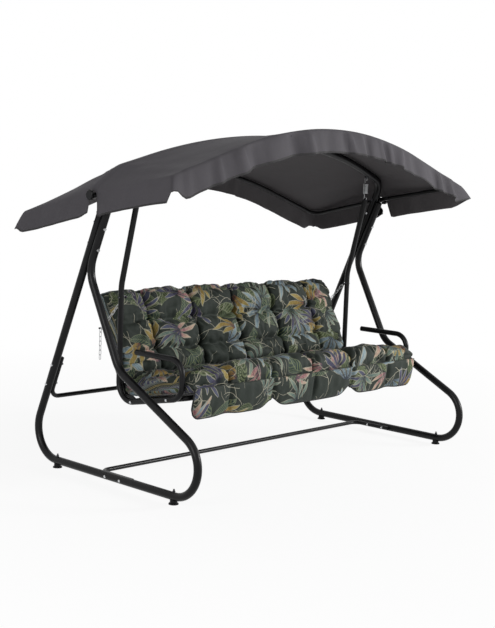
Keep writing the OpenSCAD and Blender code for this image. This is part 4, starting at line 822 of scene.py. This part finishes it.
def cushion(name, loop, half, mapping, seed, along, tufts):
    """Closed tufted cushion, and how firmly its points are held.

    loop is its section, with a weight for the stuffing. mapping turns a place of the section into
    Y and Z. along gives its distance from a tuft row, and tufts are the rows that have tufts.
    """
    rough = smooth_loop(loop, 60)
    count = int(sum(math.hypot(p[0] - q[0], p[1] - q[1]) for p, q in pairs(rough)) / GRAIN)
    sec = smooth_loop(loop, count)
    inner = int((half - 30) / GRAIN) * GRAIN
    xs = [-half, -half + 3, -half + 8, -half + 16]
    xs += [-inner + GRAIN * i for i in range(int(2 * inner / GRAIN) + 1)]
    xs += [-x for x in reversed(xs[:4])]
    ca = sum(p[0] for p in sec) / count
    cb = sum(p[1] for p in sec) / count
    area = sum(p[0] * q[1] - q[0] * p[1] for p, q in pairs(sec))
    turn = 1 if area > 0 else -1
    outward = []
    for p, q in zip(sec[-1:] + sec[:-1], sec[1:] + sec[:1]):
        d = Vector((q[1] - p[1], p[0] - q[0])).normalized() * turn
        outward.append(d)
    verts, uvs, faces, held = [], [], [], {}
    for x in xs:
        edge = max(0.0, 1 - (half - abs(x)) / END_ROUND)
        f = math.sqrt(max(0.0, 1 - edge ** 2.2)) * 0.62 + 0.38
        off = abs(x - round(x / TUFT) * TUFT)
        for (a, b, w, s), n in zip(sec, outward):
            t = along(a)
            down = crease_off(x, t)
            full = 1 - edge
            lift = w * TUFT_H * swell(x, t) + min(1.0, w * 2) * wrinkles(x, t, seed) * full
            lift -= min(1.0, w * 3) * 1.2 * GROOVE * math.exp(-(off / 8) ** 2) * full
            lift -= min(1.0, w * 1.2) * 0.75 * GROOVE * math.exp(-(down / 10) ** 2) * full
            dimple = math.exp(-(math.hypot(off, down) / 17) ** 2)
            lift -= min(1.0, w) * 0.9 * GROOVE * dimple * full
            aa, bb = a + n.x * lift, b + n.y * lift
            bb = cb + (bb - cb) * f
            aa = ca + (aa - ca) * (1 - (1 - f) * 0.09)
            if w <= 0:
                held[len(verts)] = 1.0
            elif off < 1 and abs(x) < half - 60:
                tufted = any(abs(t - row) < GRAIN * 0.8 for row in tufts)
                held[len(verts)] = 1.0 if tufted else 0.6
            elif w > 0.6 and down < 0.6 * GRAIN:
                held[len(verts)] = 0.5
            y, z = mapping(aa, bb)
            verts.append(to_frame(x, y, z))
            uvs.append((x * MM + seed, s * MM))
    for i in range(len(xs) - 1):
        for k in range(count):
            e = (k + 1) % count
            faces.append((i * count + k, (i + 1) * count + k, (i + 1) * count + e, i * count + e))
    m = len(xs)
    faces.append(tuple(range(count)))
    faces.append(tuple((m - 1) * count + k for k in reversed(range(count))))
    ob = new_object(name, verts, faces, [PRINT], None, uvs)
    bm = bmesh.new()
    bm.from_mesh(ob.data)
    bmesh.ops.recalc_face_normals(bm, faces=bm.faces)
    bm.to_mesh(ob.data)
    bm.free()
    return ob, held


PRESSURE, STRETCH, FRAMES = 4.0, 0.05, 16
MOST = 14               # mm that the simulation may move a point


def stuff(ob, held):
    """Swells a pad as cloth under pressure, while its tufts and its underside are held."""
    rest = [v.co.copy() for v in ob.data.vertices]
    group = ob.vertex_groups.new(name="held")
    for i, weight in held.items():
        group.add([i], weight, "REPLACE")
    m = ob.modifiers.new("stuffing", "CLOTH")
    s = m.settings
    s.quality = 5
    s.mass = 0.15
    s.tension_stiffness = s.compression_stiffness = 12
    s.shear_stiffness = 4
    s.bending_stiffness = 0.05
    s.use_pressure = True
    s.uniform_pressure_force = PRESSURE
    s.shrink_min = -STRETCH
    s.vertex_group_mass = "held"
    s.effector_weights.gravity = 0
    m.point_cache.frame_start, m.point_cache.frame_end = 1, FRAMES
    scene = bpy.context.scene
    for f in range(1, FRAMES + 1):
        scene.frame_set(f)
    dg = bpy.context.evaluated_depsgraph_get()
    moved = [v.co.copy() for v in ob.evaluated_get(dg).data.vertices]
    scene.frame_set(1)
    ob.modifiers.clear()
    ob.vertex_groups.clear()
    for v, a, b in zip(ob.data.vertices, rest, moved):
        d = b - a
        v.co = a + d * min(1.0, MOST * MM / max(d.length, 1e-9))
    ob.data.update()


REAR_Y = POST_Y - 52
FLAT_Y0 = REAR_Y + 10
TUFT_Y0 = HINGE.y - 72
NOSE_Y = POST_Y - 445 - 55
TUFT_UP = PAD_UP + SEAT_T - TUFT_H
seat_loop = [
    [FLAT_Y0 - 4, PAD_UP + 6, 0], [FLAT_Y0 - 60, PAD_UP, 0], [FLAT_Y0 - 170, PAD_UP, 0],
    [FLAT_Y0 - 280, PAD_UP, 0], [NOSE_Y + 50, PAD_UP, 0], [NOSE_Y + 14, PAD_UP + 4, 0],
    [NOSE_Y - 2, PAD_UP + 20, 0], [NOSE_Y + 2, PAD_UP + 40, 0.35], [NOSE_Y + 10, PAD_UP + 60, 0.75],
    [NOSE_Y + 24, TUFT_UP - 2, 1.1], [NOSE_Y + 48, TUFT_UP + 4, 1.25],
    [TUFT_Y0 - 337, TUFT_UP + 4, 1.25], [TUFT_Y0 - 300, TUFT_UP + 2, 1.1],
    [TUFT_Y0 - 263, TUFT_UP, 1.1],
    [TUFT_Y0 - 225, TUFT_UP, 1], [TUFT_Y0 - 187, TUFT_UP, 1], [TUFT_Y0 - 150, TUFT_UP, 1],
    [TUFT_Y0 - 113, TUFT_UP, 1], [TUFT_Y0 - 75, TUFT_UP + 3, 1], [TUFT_Y0 - 37, TUFT_UP + 8, 1],
    [TUFT_Y0, TUFT_UP + 14, 0.8], [TUFT_Y0 + 18, TUFT_UP + 16, 0],
    [FLAT_Y0 + 14, TUFT_UP - 4, 0], [FLAT_Y0 + 26, PAD_UP + 46, 0], [FLAT_Y0 + 22, PAD_UP + 26, 0]]
seat, seat_held = cushion("seat_pad", seat_loop, 831.0, lambda a, b: (a, rail_at(a) + b), 0.0,
                          lambda a: TUFT_Y0 - a, (150, 300))
stuff(seat, seat_held)
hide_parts("seat_cushion")
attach(seat, "swing")

ROW0 = 184.0


def back_tuft(s):
    return PAD_UP + BACK_T - 14 + 12 * (s - ROW0) / ROW


back_loop = [
    [22, PAD_UP + 1, 0], [60, PAD_UP, 0], [180, PAD_UP, 0], [300, PAD_UP, 0], [420, PAD_UP, 0],
    [482, PAD_UP + 2, 0], [496, PAD_UP + 20, 0.1], [496, PAD_UP + 42, 0.3],
    [488, PAD_UP + 62, 0.6], [472, back_tuft(400) - 6, 0.85],
    [ROW0 + 262, back_tuft(420), 0.9], [ROW0 + 225, back_tuft(409), 1],
    *([ROW0 + d, back_tuft(ROW0 + d), 1] for d in (187, 150, 113, 75, 37, 0, -37)),
    [ROW0 - 75, back_tuft(109), 1], [84, PAD_UP + 68, 0.5], [68, PAD_UP + 52, 0],
    [44, PAD_UP + 30, 0], [26, PAD_UP + 12, 0]]
back, back_held = cushion("back_pad", back_loop, 815.0, back_at, 3.0, lambda a: a - ROW0, (0, 150))
stuff(back, back_held)
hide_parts("backrest_cushion")
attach(back, "backrest")


FLAP_HALF, FLAP_CORNER, FLAP_COLS, FLAP_ROWS = 831.0, 46, 220, 22
FLAP_TOP = rail_at(NOSE_Y - 10) + PAD_UP + 22


def flap_low(x):
    """Height of the flap's hem: lobes, notches under two creases, and rounded ends."""
    lobe = abs(math.sin(math.pi * (x + TUFT) / (2 * TUFT)))
    low = RAIL_Z - 4 + 38 * math.exp(-((abs(x) - TUFT) / 52) ** 2)
    low += (9 * math.exp(-((abs(x) - 2.05 * TUFT) / 60) ** 2)
            + 10 * (1 - lobe) ** 2 * (abs(x) < TUFT))
    return low + FLAP_CORNER * (1 - bulge(FLAP_HALF - abs(x), FLAP_CORNER))


def flap_point(x, v, face):
    """Place on the flap: v runs from the seam down to the hem; face is 1 in front and 0 behind."""
    dx = abs(x - round(x / TUFT) * TUFT)
    full = math.sin(math.pi * min(1.0, 0.08 + v * 0.92)) ** 0.5
    side = bulge(FLAP_HALF - abs(x), 30)
    y = NOSE_Y - 13 + 20 * v + 3 * noise.noise(Vector((x / 160.0, v, 6.0)))
    puff = (4 + 14 * bulge(dx, 90)) * full * side - 11 * math.exp(-(dx / 9) ** 2) * full
    puff += 4.5 * noise.noise(Vector((x / 38.0, v * 2.4, 4.0))) * full
    z = FLAP_TOP + (flap_low(x) - FLAP_TOP) * v
    return (x, y - 1.5 - puff, z) if face else (x, y + 1.0 + 0.25 * puff, z)


def flap_x(i):
    return -FLAP_HALF + 2 * FLAP_HALF * i / FLAP_COLS


def build_flap():
    n, rows = FLAP_COLS, FLAP_ROWS
    w = rows + 1
    places = [(flap_x(i), k / rows) for i in range(n + 1) for k in range(rows + 1)]
    verts = [to_frame(*flap_point(x, v, face)) for face in (1, 0) for x, v in places]
    uvs = [(x * MM + 6.0, 0.4 + v * 0.13) for x, v in places]
    m = len(places)
    faces = []
    for i in range(n):
        for k in range(rows):
            a, b, c, d = i * w + k, (i + 1) * w + k, (i + 1) * w + k + 1, i * w + k + 1
            faces += [(a, d, c, b), (m + a, m + b, m + c, m + d)]
        faces += [(i * w, (i + 1) * w, m + (i + 1) * w, m + i * w),
                  (i * w + rows, m + i * w + rows, m + (i + 1) * w + rows, (i + 1) * w + rows)]
    for k in range(rows):
        a, b = k, n * w + k
        faces += [(a, m + a, m + a + 1, a + 1), (b, b + 1, m + b + 1, m + b)]
    return new_object("front_flap", verts, faces, [PRINT], None, uvs + uvs)


flap = build_flap()
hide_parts("cushion_flap")
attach(flap, "swing")


def hem_place(x, v):
    """Place midway between the flap's two faces."""
    a, b = flap_point(x, v, 1), flap_point(x, v, 0)
    return to_frame(*[(p + q) / 2 for p, q in zip(a, b)])


border = [hem_place(-FLAP_HALF, k / 12) for k in range(12)]
border += [hem_place(flap_x(i), 1.0) for i in range(FLAP_COLS + 1)]
border += [hem_place(FLAP_HALF, 1 - k / 12) for k in range(1, 13)]
PIPE_TREE = round_cord_tree("piping", 3.8 * MM, 8, PIPING)
piping = grow(path_object("flap_piping", border), PIPE_TREE)
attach(piping, "swing")


# ---------------------------------------------------------------- springs and chains

def smooth_path(points, per):
    """Open Catmull-Rom curve through points, with per places from each to the next."""
    pts = [Vector(p) for p in points]
    last = len(pts) - 1
    out = []
    for i in range(last):
        four = pts[max(i - 1, 0)], pts[i], pts[i + 1], pts[min(i + 2, last)]
        out += [catmull(*four, k / per) for k in range(per)]
    return out + [pts[-1]]


SPRING_LEN, SPRING_WIRE, SPRING_WIDTH, TURNS = 108.0, 3.8, 31, 12
HOOK_R, NECK = 8.0, 19                  # radius of a hook; its height over the coil
SPRING_R = (SPRING_WIDTH - SPRING_WIRE) / 2
COIL_LOW = -SPRING_LEN + HOOK_R + NECK
COIL_LEN = SPRING_LEN - 2 * (HOOK_R + NECK)


def hook(degrees, z, up):
    """Round end of the spring's wire about a point at height z."""
    return [(0, HOOK_R * math.sin(math.radians(a)), z + up * HOOK_R * math.cos(math.radians(a)))
            for a in degrees]


def coil_place(k):
    turn = math.radians(45 * k)
    return SPRING_R * math.sin(turn), SPRING_R * math.cos(turn), COIL_LOW + COIL_LEN / TURNS * k / 8


spring_path = hook(range(-150, 101, 25), -SPRING_LEN, -1) + [(0, SPRING_R * 0.5, COIL_LOW - 7)]
spring_path += [coil_place(k) for k in range(8 * TURNS + 1)]
spring_path += [(0, SPRING_R * 0.5, COIL_LOW + COIL_LEN + 7)] + hook(range(100, -151, -25), 0, 1)
WIRE_TREE = round_cord_tree("spring_wire", SPRING_WIRE / 2 * MM, 10, ZINC)
for side, sign in (("left", -1), ("right", 1)):
    pts = smooth_path([to_frame(sign * (SPRING_X + p[0]), AXIS.y + p[1], AXIS.z + p[2])
                       for p in spring_path], 4)
    ob = grow(path_object(side + "_coil_spring", pts), WIRE_TREE)
    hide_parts(side + "_spring")
    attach(ob, "swing")


UPRIGHT = (math.pi / 2, 0, 0)


def row_tree(name, sizes, piece, mat, turn):
    """Tree that sets a piece at even steps along a path.

    The piece's Z axis lies along the path, and each is turned on from the last.
    """
    tree, inp = node_tree(name, sizes)
    curve = node(tree, "GeometryNodeMeshToCurve", {"Mesh": inp["Mesh"]})[0]
    even = node(tree, "GeometryNodeResampleCurve", {"Curve": curve, "Count": inp["Count"]})[0]
    tangent = {"Vector": node(tree, "GeometryNodeInputTangent")[0]}
    along = node(tree, "FunctionNodeAlignRotationToVector", tangent, axis="Z")[0]
    number = node(tree, "GeometryNodeInputIndex")[0]
    angle = node(tree, "ShaderNodeMath", [number, turn], operation="MULTIPLY")[0]
    spin = node(tree, "FunctionNodeAxisAngleToRotation", {"Axis": (0, 0, 1), "Angle": angle})[0]
    turned = node(tree, "FunctionNodeRotateRotation", {"Rotation": along, "Rotate By": spin},
                  rotation_space="LOCAL")[0]
    row = {"Points": even, "Rotation": turned, "Instance": piece(tree, inp)}
    return finish_tree(tree, node(tree, "GeometryNodeInstanceOnPoints", row)[0], mat)


def link_piece(tree, inp):
    """One chain link: a wire bent to a stadium that stands along Z."""
    outline = node(tree, "GeometryNodeCurvePrimitiveQuadrilateral",
                   {"Width": inp["Width"], "Height": inp["Length"]})[0]
    half = node(tree, "ShaderNodeMath", [inp["Width"], 0.499], operation="MULTIPLY")[0]
    stadium = node(tree, "GeometryNodeFilletCurve",
                   {"Curve": outline, "Count": 8, "Radius": half}, mode="POLY")[0]
    wire = round_cord(tree, stadium, inp["Wire"], 12, False)
    return node(tree, "GeometryNodeTransform", {"Geometry": wire, "Rotation": UPRIGHT})[0]


def stitch_piece(tree, inp):
    """One stitch: a short thread that lies along Z."""
    return node(tree, "GeometryNodeMeshCylinder",
                {"Vertices": 5, "Radius": inp["Radius"], "Depth": inp["Length"]})[0]


LINK_L, LINK_WIRE, LINKS, LINK_PLAY = 29.0, 3.0, 11, 0.6
LINK_PITCH = LINK_L - 2 * LINK_WIRE - LINK_PLAY
LINK_SIZES = {"Count": LINKS, "Length": (LINK_L - LINK_WIRE) * MM,
              "Width": (LINK_L / 2 - LINK_WIRE) * MM, "Wire": LINK_WIRE / 2 * MM}
LINK_TREE = row_tree("chain_links", LINK_SIZES, link_piece, ZINC, math.pi / 2)
STITCH_SIZES = {"Count": 420, "Radius": 0.35 * MM, "Length": 3.2 * MM}
STITCH_TREE = row_tree("stitches", STITCH_SIZES, stitch_piece, THREAD, 0.0)
SEAM_V, SEAM_UP = 1.0 - TAPE_WIDTH / VALANCE - 0.01, 0.3        # just above the tape, on its face
SEAM_SKIP = 12                                                  # columns left free at a corner
for edge in ("front", "rear"):
    run = [to_frame(*valance_point(column_x(i), SEAM_V, edge == "front", SEAM_UP))
           for i in range(SEAM_SKIP, COLUMNS - SEAM_SKIP + 1)]
    seam = grow(path_object(edge + "_hem_stitches", run), STITCH_TREE)
    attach(seam, "canopy")

for side in ("left", "right"):
    solid = frame["nodes"][side + "_chain"]
    pts = [solid.matrix_world @ v.co for v in solid.data.vertices]
    ends = sorted(pts, key=lambda p: p.z)
    low, high = sum(ends[:12], Vector()) / 12, sum(ends[-12:], Vector()) / 12
    middle = sum(pts, Vector()) / len(pts)
    way = (low - high).normalized()
    reach = LINK_PITCH * (LINKS - 1) / 2 * MM
    line = [middle - way * reach, middle + way * reach]
    row = grow(path_object(side + "_chain_row", line), LINK_TREE)
    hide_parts(side + "_chain")
    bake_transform(row)


# ---------------------------------------------------------------- stage, light and camera

WHITE = (1, 1, 1, 1)


def seen_directly(tree):
    """1 for a ray from the camera or off a glossy surface, else 0."""
    path = node(tree, "ShaderNodeLightPath")
    rays = [path["Is Camera Ray"], path["Is Glossy Ray"]]
    return node(tree, "ShaderNodeMath", rays, operation="MAXIMUM")[0]


def bright_floor():
    """Pale floor whose far part goes over into the white background; it keeps a soft shadow."""
    g = Graph("floor")
    pale = (0.92, 0.92, 0.92)
    cloud = g.noise(g.coords(), 0.6, 2)
    g.set(Base_Color=g.mix(cloud, pale, tuple(c * 0.995 for c in pale)), Roughness=0.9)
    glow = g.node("ShaderNodeEmission", [WHITE])[0]
    far = g.node("ShaderNodeVectorMath", [g.coords()], operation="LENGTH")["Value"]
    share = g.mul(seen_directly(g.tree), g.range(far, 1.2, 4.0, 0.9, 1.0))
    mix = g.node("ShaderNodeMixShader", [share, g.bsdf.outputs[0], glow])[0]
    feed(g.tree, g.out.inputs[0], mix)
    return g.mat


FLOOR_HALF = 30
floor = new_object("floor", [(x * FLOOR_HALF, y * FLOOR_HALF, 0)
                             for x, y in ((-1, -1), (1, -1), (1, 1), (-1, 1))],
                   [(0, 1, 2, 3)], [bright_floor()], smooth=False)
floor.location.z = -0.0005

world = bpy.data.worlds.new("studio")
bpy.context.scene.world = world
world.use_nodes = True
sky = world.node_tree
sky.nodes.clear()
light = node(sky, "ShaderNodeBackground", [WHITE, 0.2])[0]
backdrop = node(sky, "ShaderNodeBackground", [WHITE, 1.0])[0]
mixed = node(sky, "ShaderNodeMixShader", [seen_directly(sky), light, backdrop])[0]
node(sky, "ShaderNodeOutputWorld", [mixed])


def area_light(name, at, look, size, power):
    data = bpy.data.lights.new(name, "AREA")
    data.shape = "RECTANGLE"
    data.size, data.size_y = size
    data.energy = power
    ob = add_object(name, data)
    ob.location = at
    ob.rotation_euler = (Vector(look) - Vector(at)).to_track_quat("-Z", "Y").to_euler()


area_light("key", (4.6, -5.2, 2.7), (0, 0, 0.9), (1.6, 1.6), 470)
area_light("fill", (-6.0, -1.5, 2.6), (0, 0, 0.7), (2.5, 2.5), 125)
area_light("top", (-1.0, 1.0, 5.0), (0, 0, 1.0), (2.5, 2.5), 10)

cam_data = bpy.data.cameras.new("camera")
cam = add_object("camera", cam_data)
bpy.context.scene.camera = cam
cam_data.sensor_fit = "VERTICAL"
cam_data.sensor_height = 36
cam_data.lens = 68.73
cam_data.clip_end = 100
cam.matrix_world = (Matrix.Translation((-4.547, -4.244 - Y0 * MM, 1.463))
                    @ Matrix.Rotation(math.radians(-46.16), 4, "Z")
                    @ Matrix.Rotation(math.radians(83.43), 4, "X")
                    @ Matrix.Rotation(math.radians(2.08), 4, "Z"))
bpy.context.scene.view_settings.view_transform = "Standard"
